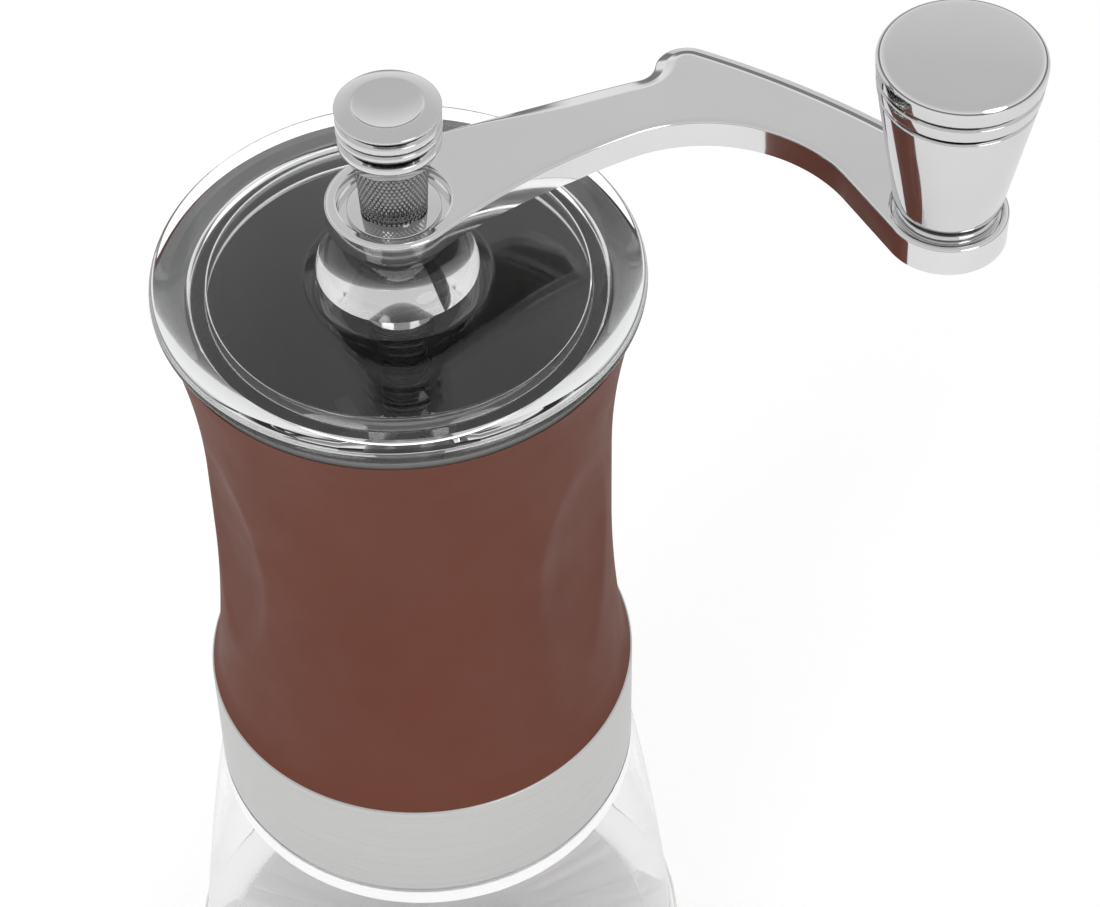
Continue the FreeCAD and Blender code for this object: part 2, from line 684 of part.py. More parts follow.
def make_clips_and_washer():
    """Snap rings on the shaft and the thrust washer over the spring."""
    turned("shaft_clip", [
        ("Dims.clip_groove", "0"), ("Dims.clip_radius", "0"),
        ("Dims.clip_radius", "Dims.clip_height"), ("Dims.clip_groove", "Dims.clip_height")],
        CLIP_Z, 360 - size("clip_opening"))
    bore = "Dims.shaft_thread - Dims.shaft_edge"
    turned("dial_clip", [
        (bore, "0"), ("Dims.clip_radius", "0"), ("Dims.clip_radius", "Dims.clip_height"),
        (bore, "Dims.clip_height")], DIAL_CLIP_Z, 360 - size("clip_opening"))
    washer("thrust_washer", "Dims.shaft_radius + Dims.run_gap", "Dims.washer_radius",
           "Dims.washer_height", THRUST_Z)


def helix_point(radius, pitch, angle, foot):
    """A point of the spring's centre line, and its direction there."""
    place = FreeCAD.Vector(radius * math.cos(angle), radius * math.sin(angle),
                           foot + pitch * angle / (2 * math.pi))
    way = FreeCAD.Vector(-radius * math.sin(angle), radius * math.cos(angle),
                         pitch / (2 * math.pi)).normalize()
    return place, way


def tangent_arc(start, corner, end):
    """The arc from start to end whose end tangents meet at the corner."""
    chord = end - start
    leg = corner - start
    weight = (leg * chord) / (leg.Length * chord.Length)
    crown = (start + corner * (2 * weight) + end) * (1 / (2 * (1 + weight)))
    return Part.Arc(start, crown, end).toShape()


def biarc(start, way, end, end_way):
    """Two arcs that join two directed points smoothly."""
    gap = end - start
    both = way + end_way
    slack = 2 * (1 - way * end_way)
    reach = (-(gap * both) + math.sqrt((gap * both) ** 2 + slack * (gap * gap))) / slack
    first = start + way * reach
    last = end - end_way * reach
    middle = (first + last) * 0.5
    return [tangent_arc(start, first, middle), tangent_arc(middle, last, end)]


def make_burr_spring():
    """Wound spring between the inner burr and the thrust washer."""
    wire = size("spring_wire") / 2
    foot = worth(f"{INNER_Z} + Dims.inner_seat") + wire + size("nut_gap")
    top = worth(THRUST_Z) - wire - size("nut_gap")
    turns = int(size("spring_turns"))
    pitch = (top - foot) / turns
    radius = size("spring_radius")
    edges = []
    quarters = 4 * turns
    for quarter in range(quarters):
        start, way = helix_point(radius, pitch, quarter * math.pi / 2, 0)
        end, end_way = helix_point(radius, pitch, (quarter + 1) * math.pi / 2, 0)
        edges += biarc(start, way, end, end_way)
    path = Part.Wire(edges)
    start, way = helix_point(radius, pitch, 0, 0)
    section = Part.Wire(Part.Circle(start, way, wire).toShape())
    coil = path.makePipeShell([section], True, False)
    spring = doc.addObject("Part::Feature", "burr_spring")
    spring.Label = "burr_spring"
    spring.Shape = coil if coil.ShapeType == "Solid" else Part.Solid(coil.Shells[0])
    spring.Placement = FreeCAD.Placement(FreeCAD.Vector(0, 0, foot), FreeCAD.Rotation())
    parts.append(spring)
    length = path.Length * math.pi * wire ** 2
    print("spring volume", round(spring.Shape.Volume, 3), "wire length times section", round(length, 3))
    print("spring gap between turns", round(pitch - 2 * wire, 3))


def make_drive_plate():
    """Keyed plate under the inner burr, with the dents that the dial clicks into."""
    plate = turned("burr_drive_plate", [
        ("0", "0"), ("Dims.plate_radius", "0"), ("Dims.plate_radius", "Dims.plate_height"),
        ("0", "Dims.plate_height")], PLATE_Z)
    square_hole(plate, "plate_square", "0", "Dims.plate_height")
    dent = primitive(plate, "SubtractiveSphere", "click_dent", {"Radius": "Dims.nut_groove_depth"},
                     "(Dims.plate_radius + Dims.shaft_radius) / 2")
    ring_of(plate, dent, "Dims.click_count")


def make_adjuster_dial():
    """Scalloped dial that is turned to set the grind."""
    edge = "Dims.shaft_edge"
    dial = turned("adjuster_dial", [
        ("Dims.shaft_thread + Dims.run_gap", "0"), (f"Dims.dial_radius - {edge}", "0"),
        ("Dims.dial_radius", edge), ("Dims.dial_radius", f"Dims.dial_height - {edge}"),
        (f"Dims.dial_radius - {edge}", "Dims.dial_height"),
        ("Dims.shaft_thread + Dims.run_gap", "Dims.dial_height")], DIAL_Z)
    scallop = primitive(dial, "SubtractiveCylinder", "dial_scallop",
                        {"Radius": "Dims.dial_scallop", "Height": "Dims.dial_height"},
                        "Dims.dial_radius + Dims.dial_scallop / 2")
    ring_of(dial, scallop, "Dims.dial_count")


def make_hopper_lid():
    """Clear lid: a flange with a conical underside, a locating skirt and a solid bell-shaped boss."""
    drop = "-Dims.lid_flange"
    skirt = f"{drop} - Dims.lid_skirt_depth"
    under = "-Dims.lid_underside"
    bore = "Dims.lid_bush_radius"
    edge_centre = "Dims.lid_radius - Dims.lid_edge"
    cone_radius = f"{edge_centre} + Dims.lid_edge * sin(Dims.lid_lean)"
    cone_height = "0 - Dims.lid_edge * cos(Dims.lid_lean)"
    turned("hopper_lid", [
        (bore, under), ("Dims.lid_skirt_bore", under), ("Dims.lid_skirt_bore", skirt),
        ("Dims.lid_skirt_radius", skirt), ("Dims.lid_skirt_radius", drop),
        ("Dims.lid_skirt_radius + Dims.lid_seat_width", drop), (cone_radius, cone_height),
        arc_to(edge_centre, "Dims.lid_edge", "Dims.lid_edge", -1),
        ("Dims.boss_radius", "Dims.lid_edge"),
        ("Dims.boss_shoulder", "Dims.lid_edge + Dims.boss_rise"),
        arc_to("Dims.boss_top_radius", "Dims.boss_height", "Dims.boss_curve", -1),
        (bore, "Dims.boss_height")], LID_Z)


def make_lid_bush():
    """Dark bush in the lid's boss that steadies the shaft."""
    bore = "Dims.shaft_radius + Dims.run_gap"
    under = "-Dims.lid_underside"
    top = "Dims.boss_height + Dims.lid_bush_flange_height"
    turned("lid_bush", [
        (bore, under), ("Dims.lid_bush_radius", under),
        ("Dims.lid_bush_radius", "Dims.boss_height"),
        ("Dims.lid_bush_flange", "Dims.boss_height"), ("Dims.lid_bush_flange", top),
        (bore, top)], LID_Z)


def crossing(one, reach_one, two, reach_two, side):
    """Where circles about two points meet, left (1) or right (-1) of the way from one to two."""
    gap = two - one
    along = (gap.Length ** 2 + reach_one ** 2 - reach_two ** 2) / (2 * gap.Length)
    off = math.sqrt(reach_one ** 2 - along ** 2)
    left = FreeCAD.Vector(-gap.y, gap.x, 0)
    return one + gap * (along / gap.Length) + left * (side * off / gap.Length)


def bearing(centre, point):
    """The direction from one point to another, in radians."""
    return math.atan2(point.y - centre.y, point.x - centre.x)


def polar(centre, radius, angle):
    """The point at a radius and angle about a centre."""
    return centre + FreeCAD.Vector(math.cos(angle), math.sin(angle), 0) * radius


def arm_outline(sketch):
    """The crank in plan: a chain of tangent arcs about the hub, the bow, the knob and the peak."""
    radius = {name: size(name) for name in (
        "arm_hub_radius", "front_sweep", "front_bend", "arm_end_radius", "back_run",
        "peak_radius", "step_inner", "back_sweep")}
    hub_at = FreeCAD.Vector()
    both = radius["front_bend"] + radius["arm_end_radius"]
    end_at = FreeCAD.Vector(size("arm_reach"), 0, 0)
    bend_at = end_at + FreeCAD.Vector(-both - size("run_lean"),
                                      size("bow_height") - radius["front_bend"], 0)
    peak_at = end_at + FreeCAD.Vector(-size("peak_back"), size("peak_height"), 0)
    step_reach = radius["peak_radius"] + radius["step_inner"]
    step_run = math.sqrt(step_reach ** 2 - size("step_rise") ** 2)
    step_at = peak_at + FreeCAD.Vector(-step_run, size("step_rise"), 0)
    front_at = crossing(hub_at, radius["front_sweep"] + radius["arm_hub_radius"],
                        bend_at, radius["front_sweep"] - radius["front_bend"], -1)
    back_at = crossing(end_at, radius["back_run"] - radius["arm_end_radius"],
                       peak_at, radius["back_run"] - radius["peak_radius"], 1)
    sweep_at = crossing(hub_at, radius["back_sweep"] - radius["arm_hub_radius"],
                        step_at, radius["back_sweep"] + radius["step_inner"], -1)
    square = bearing(bend_at, end_at) + math.acos(both / (end_at - bend_at).Length)

    def arc(centre, name, start, end):
        circle = Part.Circle(centre, FreeCAD.Vector(0, 0, 1), radius[name])
        index = sketch.addGeometry(Part.ArcOfCircle(circle, start, end), False)
        rule = sketch.addConstraint(Sketcher.Constraint("Radius", index, radius[name]))
        sketch.setExpression(f"Constraints[{rule}]", f"Dims.{name}")
        return index

    hub = arc(hub_at, "arm_hub_radius", bearing(sweep_at, hub_at), bearing(hub_at, front_at))
    front = arc(front_at, "front_sweep", bearing(front_at, bend_at), bearing(front_at, hub_at))
    bow = arc(bend_at, "front_bend", square, bearing(front_at, bend_at))
    run = sketch.addGeometry(Part.LineSegment(
        polar(bend_at, radius["front_bend"], square),
        polar(end_at, -radius["arm_end_radius"], square)), False)
    end = arc(end_at, "arm_end_radius", square + math.pi, bearing(back_at, end_at))
    back = arc(back_at, "back_run", bearing(back_at, end_at), bearing(back_at, peak_at))
    top = arc(peak_at, "peak_radius", bearing(back_at, peak_at), bearing(peak_at, step_at))
    step = arc(step_at, "step_inner", bearing(step_at, sweep_at), bearing(step_at, peak_at))
    sweep = arc(sweep_at, "back_sweep", bearing(sweep_at, step_at), bearing(sweep_at, hub_at))
    chain = [(hub, 2, front, 2), (front, 1, bow, 2), (bow, 1, run, 1), (run, 2, end, 1),
             (end, 2, back, 1), (back, 2, top, 1), (top, 2, step, 2), (step, 1, sweep, 1),
             (sweep, 2, hub, 1)]
    sketch.addConstraint([Sketcher.Constraint("Tangent", *link) for link in chain])
    across = "Dims.front_bend + Dims.arm_end_radius + Dims.run_lean"
    for kind, start, finish, text in (
            ("DistanceX", (-1, 1), (end, 3), "Dims.arm_reach"),
            ("DistanceX", (bow, 3), (end, 3), across),
            ("DistanceY", (-1, 1), (bow, 3), "Dims.bow_height - Dims.front_bend"),
            ("DistanceX", (top, 3), (end, 3), "Dims.peak_back"),
            ("DistanceY", (-1, 1), (top, 3), "Dims.peak_height"),
            ("DistanceY", (top, 3), (step, 3), "Dims.step_rise")):
        rule = sketch.addConstraint(Sketcher.Constraint(kind, *start, *finish, worth(text)))
        sketch.setExpression(f"Constraints[{rule}]", text)
    sketch.addConstraint(Sketcher.Constraint("Coincident", hub, 3, -1, 1))
    sketch.addConstraint(Sketcher.Constraint("PointOnObject", end, 3, -1))


def top_face(feature):
    """Name of the feature's highest face."""
    heights = [face.CenterOfMass.z for face in feature.Shape.Faces]
    return f"Face{heights.index(max(heights)) + 1}"


def make_crank_arm():
    """Flat crank that bows back from the hub to the knob, with a stepped peak."""
    arm = new_body("crank_arm", ARM_Z)
    sketch = new_sketch(arm, "arm_outline", "XY_Plane")
    arm_outline(sketch)
    plate = arm.newObject("PartDesign::Pad", "arm_plate")
    plate.Profile = sketch
    plate.setExpression("Length", "Dims.arm_thick")
    sketch.Visibility = False
    doc.recompute()
    edge = arm.newObject("PartDesign::Chamfer", "arm_rim")
    edge.Base = (plate, [top_face(plate)])
    edge.setExpression("Size", "Dims.arm_edge")
    doc.recompute()
    return arm


def dress_crank_arm(arm):
    """Edges, hub, recesses and holes of the crank."""
    relief = "Dims.arm_thick - Dims.arm_hub_thick"
    wedge = new_sketch(arm, "relief_sketch")
    draw(wedge, [
        ("-2 * Dims.arm_hub_radius", "-Dims.arm_thick"), ("Dims.arm_relief_end", "-Dims.arm_thick"),
        ("Dims.arm_relief_end", "0"), ("Dims.arm_hub_radius", relief),
        ("-2 * Dims.arm_hub_radius", relief)])
    cut = arm.newObject("PartDesign::Pocket", "hub_relief")
    cut.Profile = wedge
    cut.Midplane = True
    cut.setExpression("Length", "4 * Dims.arm_reach")
    doc.recompute()
    primitive(arm, "AdditiveCylinder", "arm_boss",
              {"Radius": "Dims.arm_boss_radius",
               "Height": f"Dims.arm_boss_drop + Dims.arm_hub_thick - Dims.arm_recess_depth"},
              z=f"{relief} - Dims.arm_boss_drop")
    primitive(arm, "SubtractiveCylinder", "arm_recess",
              {"Radius": "Dims.arm_recess_radius", "Height": "Dims.arm_recess_depth"},
              z="Dims.arm_thick - Dims.arm_recess_depth")
    square_hole(arm, "arm_square", f"{relief} - Dims.arm_boss_drop", "Dims.arm_thick")
    primitive(arm, "SubtractiveCylinder", "arm_end_recess",
              {"Radius": "Dims.arm_end_recess_radius", "Height": "Dims.arm_end_recess"},
              "Dims.arm_reach", "0", "Dims.arm_thick - Dims.arm_end_recess")
    primitive(arm, "SubtractiveCylinder", "arm_pin_hole",
              {"Radius": "Dims.pin_radius", "Height": "Dims.arm_thick"}, "Dims.arm_reach")
    doc.recompute()


def make_nut():
    """Thumb nut with a knurled stem, and the washer under it."""
    washer("nut_washer", "Dims.shaft_thread + Dims.run_gap", "Dims.nut_washer_radius",
           "Dims.nut_washer_height", NUT_WASHER_Z)
    bore = "Dims.shaft_thread + Dims.run_gap"
    roof = "Dims.nut_height - Dims.nut_roof"
    edge = "Dims.nut_head_edge"
    groove = "Dims.nut_groove"
    width = "Dims.nut_groove_width"
    depth = "Dims.nut_groove_depth"
    top = "Dims.nut_height"
    turned("arm_nut", [
        (bore, "0"), ("Dims.nut_foot_radius", "0"),
        ("Dims.nut_stem_radius", "Dims.nut_stem_top"),
        ("Dims.nut_rib_radius", "Dims.nut_rib_low"),
        ("Dims.nut_rib_radius", f"{groove} - {width}"),
        (f"Dims.nut_rib_radius - {depth}", groove),
        ("Dims.nut_head_radius", f"{groove} + {width}"),
        ("Dims.nut_head_radius", f"{top} - {edge}"),
        arc_to(f"Dims.nut_head_radius - {edge}", top, edge, -1),
        (f"Dims.nut_dish_radius + {depth}", top),
        ("Dims.nut_dish_radius", f"{top} - Dims.nut_dish_depth"),
        ("0", f"{top} - Dims.nut_dish_depth"), ("0", roof), (bore, roof)], NUT_Z)


def make_knob():
    """Tapered knob on its shoulder pin, with washer, spacer and pressed-in cap."""
    washer("knob_washer", "Dims.pin_radius + Dims.run_gap", "Dims.knob_washer_radius",
           "Dims.knob_washer_height", KNOB_WASHER_Z)
    washer("knob_spacer", "Dims.pin_radius + Dims.run_gap", "Dims.knob_spacer_radius",
           "Dims.knob_spacer_height", KNOB_SPACER_Z)
    foot = f"{ARM_Z} + Dims.pin_root_gap"
    seat = f"{PIN_SEAT_Z} - ({foot})"
    head = f"{seat} + Dims.pin_head_height"
    turned("knob_pin", [
        ("0", "0"), ("Dims.pin_radius", "0"), ("Dims.pin_radius", seat),
        ("Dims.pin_head_radius", seat), ("Dims.pin_head_radius", head), ("0", head)], foot)
    groove = "Dims.knob_groove"
    bore = "Dims.pin_radius + Dims.run_gap"
    floor = "Dims.pin_length - Dims.end_gap"
    turned("knob_grip", [
        (bore, "0"), ("Dims.knob_foot_radius - Dims.knob_foot_edge", "0"),
        arc_to("Dims.knob_foot_radius", "Dims.knob_foot_edge", "Dims.knob_foot_edge", -1),
        ("Dims.knob_taper_radius", "Dims.knob_taper_height"),
        (f"Dims.knob_taper_radius - {groove}", f"Dims.knob_taper_height + {groove}"),
        ("Dims.knob_radius", f"Dims.knob_taper_height + 2 * {groove}"),
        ("Dims.knob_radius", f"Dims.knob_height - {groove}"),
        (f"Dims.knob_radius - {groove}", "Dims.knob_height"),
        ("Dims.knob_cavity_radius", "Dims.knob_height"), ("Dims.knob_cavity_radius", floor),
        (bore, floor)], KNOB_Z)
    edge = "Dims.cap_edge"
    lip = "Dims.knob_radius + Dims.cap_overhang"
    turned("knob_cap", [
        ("0", "-Dims.cap_spigot"), ("Dims.knob_cavity_radius", "-Dims.cap_spigot"),
        ("Dims.knob_cavity_radius", "0"), (f"Dims.knob_radius - {groove}", "0"),
        (lip, groove), (lip, f"Dims.cap_height - {edge}"),
        arc_to(f"{lip} - {edge}", "Dims.cap_height", edge, -1),
        ("0", "Dims.cap_height + Dims.cap_crown")], CAP_Z)
    for name in ("knob_washer", "knob_spacer", "knob_pin", "knob_grip", "knob_cap"):
        doc.getObject(name).setExpression("Placement.Base.x", "Dims.arm_reach")


def save():
    """Check every object, then write each sub-part's shape."""
    doc.recompute()
    failed = [item.Name for item in doc.Objects if "Invalid" in item.State or "Error" in item.State]
    if failed:
        raise RuntimeError(f"these objects failed: {failed}")
    empty = [item.Label for item in parts if item.Shape.isNull() or not item.Shape.isValid()]
    if empty:
        raise RuntimeError(f"these sub-parts have no valid shape: {empty}")
    os.makedirs("parts", exist_ok=True)
    for item in parts:
        item.Shape.exportStep(f"parts/{item.Label}.step")


make_jar_foot()
make_jar()
make_jar_gasket()
make_trim_band()
make_hopper_liner()
make_grip_sleeve()
make_bushes()
make_outer_burr()
make_inner_burr()
make_retainer()
make_drive_shaft()
make_clips_and_washer()
make_burr_spring()
make_drive_plate()
make_adjuster_dial()
make_hopper_lid()
make_lid_bush()
dress_crank_arm(make_crank_arm())
make_nut()
make_knob()
save()
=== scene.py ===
import bpy
import bmesh
import math
import mathutils
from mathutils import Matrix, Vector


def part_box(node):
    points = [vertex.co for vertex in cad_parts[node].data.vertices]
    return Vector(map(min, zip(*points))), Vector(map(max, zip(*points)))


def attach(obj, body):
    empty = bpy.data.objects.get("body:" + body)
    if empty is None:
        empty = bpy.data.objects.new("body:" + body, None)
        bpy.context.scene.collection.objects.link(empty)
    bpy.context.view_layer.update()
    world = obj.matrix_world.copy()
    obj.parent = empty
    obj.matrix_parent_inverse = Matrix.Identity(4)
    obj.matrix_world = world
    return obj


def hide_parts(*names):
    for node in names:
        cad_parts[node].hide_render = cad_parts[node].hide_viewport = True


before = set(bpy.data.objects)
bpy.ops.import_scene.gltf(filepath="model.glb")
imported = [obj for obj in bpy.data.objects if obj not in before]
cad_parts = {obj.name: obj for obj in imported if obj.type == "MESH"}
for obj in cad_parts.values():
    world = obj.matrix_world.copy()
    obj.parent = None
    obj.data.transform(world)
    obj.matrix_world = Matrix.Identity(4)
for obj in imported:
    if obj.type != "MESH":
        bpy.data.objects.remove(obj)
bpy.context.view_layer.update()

# Dressing of the coffee grinder. Outlines are in millimetres, (radius, height) pairs
# about the shaft's axis or the knob's, and MM turns them into metres.
MM = 0.001
TURN = 2 * math.pi
ROUND = 256
TINY = 1e-6
SHARP_ANGLE = 32.0

# The side of its way to which an arc bulges
LEFT = 1
RIGHT = -1

# Heights that the shapes are measured from, taken from the CAD nodes' boxes
BOSS_HEIGHT = 8.6
LID_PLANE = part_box("hopper_lid")[1].z / MM - BOSS_HEIGHT
ARM_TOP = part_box("crank_arm")[1].z / MM
SLEEVE_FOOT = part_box("grip_sleeve")[0].z / MM
BAND_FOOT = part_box("trim_band")[0].z / MM
NUT_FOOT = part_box("arm_nut")[0].z / MM
KNOB_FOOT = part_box("knob_grip")[0].z / MM
KNOB_AXIS = (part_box("knob_grip")[0].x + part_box("knob_grip")[1].x) / 2 / MM


# Outlines

def bulge(start, end, radius, side, steps=24):
    """Points of an arc after start up to end, which bulges to the left or right of the way."""
    chord = mathutils.Vector(end) - mathutils.Vector(start)
    middle = (mathutils.Vector(end) + mathutils.Vector(start)) / 2
    left = mathutils.Vector((-chord.y, chord.x)).normalized()
    deep = math.sqrt(max(radius ** 2 - chord.length_squared / 4, 0.0))
    centre = middle - left * side * deep
    first = math.atan2(start[1] - centre.y, start[0] - centre.x)
    last = math.atan2(end[1] - centre.y, end[0] - centre.x)
    swing = (last - first + math.pi) % TURN - math.pi
    return [(centre.x + radius * math.cos(first + swing * i / steps),
             centre.y + radius * math.sin(first + swing * i / steps)) for i in range(1, steps + 1)]


def rounded(corners, steps=6):
    """A closed outline whose corners (radius, height, fillet) are rounded; those of two stay sharp."""
    points = []
    count = len(corners)
    for i, corner in enumerate(corners):
        here = mathutils.Vector(corner[:2])
        fillet = corner[2] if len(corner) > 2 else 0.0
        if fillet <= 0:
            points.append(tuple(here))
            continue
        back = (mathutils.Vector(corners[i - 1][:2]) - here).normalized()
        ahead = (mathutils.Vector(corners[(i + 1) % count][:2]) - here).normalized()
        half = math.acos(max(-1.0, min(1.0, back.dot(ahead)))) / 2
        leg = fillet / math.tan(half)
        centre = here + (back + ahead).normalized() * (fillet / math.sin(half))
        start = here + back * leg
        first = math.atan2(start.y - centre.y, start.x - centre.x)
        end = here + ahead * leg
        last = math.atan2(end.y - centre.y, end.x - centre.x)
        swing = (last - first + math.pi) % TURN - math.pi
        for k in range(steps + 1):
            angle = first + swing * k / steps
            points.append((centre.x + fillet * math.cos(angle), centre.y + fillet * math.sin(angle)))
    return points


# Meshes

def put(name, data):
    """A new object in the scene."""
    piece = bpy.data.objects.new(name, data)
    bpy.context.scene.collection.objects.link(piece)
    return piece


class Shape:
    """Points and faces of one piece, gathered before the mesh is made."""

    def __init__(self):
        self.points = []
        self.faces = []
        self.hard = set()

    def ring(self, points):
        """Add a ring of points, and give their numbers."""
        start = len(self.points)
        self.points.extend(points)
        return list(range(start, start + len(points)))

    def circle(self, radius, height, count=ROUND, x=0.0, y=0.0):
        """A level ring about a place; one point where the radius is nothing."""
        if radius < TINY:
            return self.ring([(x, y, height)])
        angles = [TURN * i / count for i in range(count)]
        return self.ring([(x + radius * math.cos(a), y + radius * math.sin(a), height) for a in angles])

    def wavy(self, radius_at, height, count):
        """A level ring about the shaft's axis whose radius changes with the angle."""
        points = []
        for i in range(count):
            angle = TURN * i / count
            radius = radius_at(angle)
            points.append((radius * math.cos(angle), radius * math.sin(angle), height))
        return self.ring(points)

    def bridge(self, low, high):
        """Faces between two rings; a ring of one point closes in a fan."""
        count = max(len(low), len(high))
        for i in range(count):
            j = (i + 1) % count
            if len(low) == 1:
                self.faces.append((low[0], high[j], high[i]))
            elif len(high) == 1:
                self.faces.append((low[i], low[j], high[0]))
            else:
                self.faces.append((low[i], low[j], high[j], high[i]))

    def stack(self, rings, closed=False):
        """Faces from ring to ring, and back to the first one if closed."""
        for low, high in zip(rings, rings[1:] + (rings[:1] if closed else [])):
            if len(low) > 1 or len(high) > 1:
                self.bridge(low, high)

    def harden(self, ring):
        """Keep the edges along a ring sharp."""
        for i, point in enumerate(ring):
            self.hard.add(frozenset((point, ring[(i + 1) % len(ring)])))

    def turn(self, outline, axis=0.0, count=ROUND, closed=True):
        """A body of revolution about a vertical axis at (axis, 0)."""
        self.stack([self.circle(radius, height, count, axis) for radius, height in outline], closed)

    def mesh(self, name, material):
        """The mesh as it was gathered."""
        mesh = bpy.data.meshes.new(name)
        mesh.from_pydata([(x * MM, y * MM, z * MM) for x, y, z in self.points], [], self.faces)
        mesh.materials.append(material)
        return mesh

    def make(self, name, material, body, slot, *nodes, angle=SHARP_ANGLE):
        """The finished object, riding on its body in place of its CAD nodes."""
        mesh = self.mesh(name, material)
        work = bmesh.new()
        work.from_mesh(mesh)
        bmesh.ops.recalc_face_normals(work, faces=work.faces)
        work.to_mesh(mesh)
        work.free()
        mesh.shade_smooth()
        mesh.set_sharp_from_angle(angle=math.radians(angle))
        if self.hard:
            sharp = (mesh.attributes.get("sharp_edge")
                     or mesh.attributes.new("sharp_edge", "BOOLEAN", "EDGE"))
            for edge in mesh.edges:
                if frozenset(edge.vertices) in self.hard:
                    sharp.data[edge.index].value = True
        piece = put(name, mesh)
        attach(piece, body)
        if nodes:
            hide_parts(*nodes)


def turned_piece(name, outline, material, body, slot, *nodes, axis=0.0, count=ROUND, closed=True):
    """A finished piece that is one body of revolution."""
    shape = Shape()
    shape.turn(outline, axis, count, closed)
    shape.make(name, material, body, slot, *nodes)


# Materials

# The middle range of a noise texture's values
MIDDLE = (0.3, 0.7)

# A colour mix's sockets
MIX_A = 6
MIX_B = 7
MIX_OUT = 2

# Light that has met this many surfaces passes clear plastic and glass unbent
CAUGHT_BOUNCES = 5.5

# Colour of the shadows in the nut's and the knob's grooves
GROOVE_DARK = (0.09, 0.09, 0.09)

POLISH_DEPTH = 0.000004
BRUSH_DEPTH = 0.00001


class Nodes:
    """A node tree, with short ways to add to it."""

    def __init__(self, tree):
        self.tree = tree

    def node(self, kind, **values):
        """A new node with some of its properties set."""
        node = self.tree.nodes.new(kind)
        for key, value in values.items():
            setattr(node, key, value)
        return node

    def link(self, source, target):
        """Join an output socket to an input socket."""
        self.tree.links.new(source, target)

    def calc(self, operation, *values):
        """A Math node whose inputs are sockets or plain numbers; gives its output."""
        node = self.node("ShaderNodeMath", operation=operation)
        for target, value in zip(node.inputs, values):
            if isinstance(value, float):
                target.default_value = value
            else:
                self.link(value, target)
        return node.outputs[0]

    def height(self, place):
        """The upward part of a direction or place."""
        parts = self.node("ShaderNodeSeparateXYZ")
        self.link(place, parts.inputs["Vector"])
        return parts.outputs["Z"]

    def blend(self, share, first, second):
        """A Mix Shader node's output."""
        mix = self.node("ShaderNodeMixShader")
        self.link(share, mix.inputs["Fac"])
        self.link(first, mix.inputs[1])
        self.link(second, mix.inputs[2])
        return mix.outputs["Shader"]

    def seen(self, path):
        """1 for what the camera sees, also through glass."""
        return self.calc("MAXIMUM", path.outputs["Is Camera Ray"], path.outputs["Is Transmission Ray"])

    def surface(self, output, socket):
        """Join a shader's output to the tree's output node."""
        self.link(socket, self.tree.nodes[output].inputs["Surface"])


class Paint(Nodes):
    """One procedural material: a Principled shader and the textures that feed it."""

    def __init__(self, name, color, metallic=0.0, roughness=0.5):
        self.material = bpy.data.materials.new(name)
        self.material.use_nodes = True
        super().__init__(self.material.node_tree)
        self.shader = self.tree.nodes["Principled BSDF"]
        self.color = color
        self.shader.inputs["Base Color"].default_value = (*color, 1.0)
        self.shader.inputs["Metallic"].default_value = metallic
        self.shader.inputs["Roughness"].default_value = roughness

    def noise(self, scale, detail=3.0, stretch=(1.0, 1.0, 1.0), roughness=0.5):
        """Noise in the object's own space; scale is in waves per metre along each axis of stretch."""
        place = self.node("ShaderNodeTexCoord")
        fit = self.node("ShaderNodeMapping")
        fit.inputs["Scale"].default_value = stretch
        texture = self.node("ShaderNodeTexNoise")
        texture.inputs["Scale"].default_value = scale
        texture.inputs["Detail"].default_value = detail
        texture.inputs["Roughness"].default_value = roughness
        self.link(place.outputs["Object"], fit.inputs["Vector"])
        self.link(fit.outputs["Vector"], texture.inputs["Vector"])
        return texture.outputs["Fac"]

    def spread(self, value, low, high):
        """Map a texture's middle range onto low to high."""
        node = self.node("ShaderNodeMapRange")
        for key, number in zip(("From Min", "From Max", "To Min", "To Max"), (*MIDDLE, low, high)):
            node.inputs[key].default_value = number
        self.link(value, node.inputs["Value"])
        return node.outputs["Result"]

    def rough(self, value, low, high):
        """Let a texture vary the roughness."""
        self.link(self.spread(value, low, high), self.shader.inputs["Roughness"])

    def mixed(self, share, first, second):
        """A mix of two colours; the first may be a socket."""
        mix = self.node("ShaderNodeMix", data_type="RGBA")
        for target, value in ((mix.inputs[MIX_A], first), (mix.inputs[MIX_B], second)):
            if isinstance(value, tuple):
                target.default_value = (*value, 1.0)
            else:
                self.link(value, target)
        self.link(share, mix.inputs[0])
        self.link(mix.outputs[MIX_OUT], self.shader.inputs["Base Color"])

    def tint(self, value, amount):
        """Lighten and darken the base colour a little with a texture."""
        dark = tuple(c * (1 - amount) for c in self.color)
        light = tuple(min(1.0, c * (1 + amount)) for c in self.color)
        self.mixed(self.spread(value, 0.0, 1.0), dark, light)

    def between(self, low, high):
        """1 between two heights of the object's own space in millimetres, 0 outside them."""
        height = self.height(self.node("ShaderNodeTexCoord").outputs["Object"])
        above = self.calc("GREATER_THAN", height, low * MM)
        below = self.calc("LESS_THAN", height, high * MM)
        return self.calc("MULTIPLY", above, below)

    def repaint(self, low, high, color):
        """Lay another base colour over the one there is, between two heights."""
        under = self.shader.inputs["Base Color"].links[0].from_socket
        self.mixed(self.between(low, high), under, color)

    def bump(self, value, distance, strength=1.0):
        """Let a texture raise the surface by a distance in metres."""
        node = self.node("ShaderNodeBump")
        node.inputs["Strength"].default_value = strength
        node.inputs["Distance"].default_value = distance
        self.link(value, node.inputs["Height"])
        self.link(node.outputs["Normal"], self.shader.inputs["Normal"])


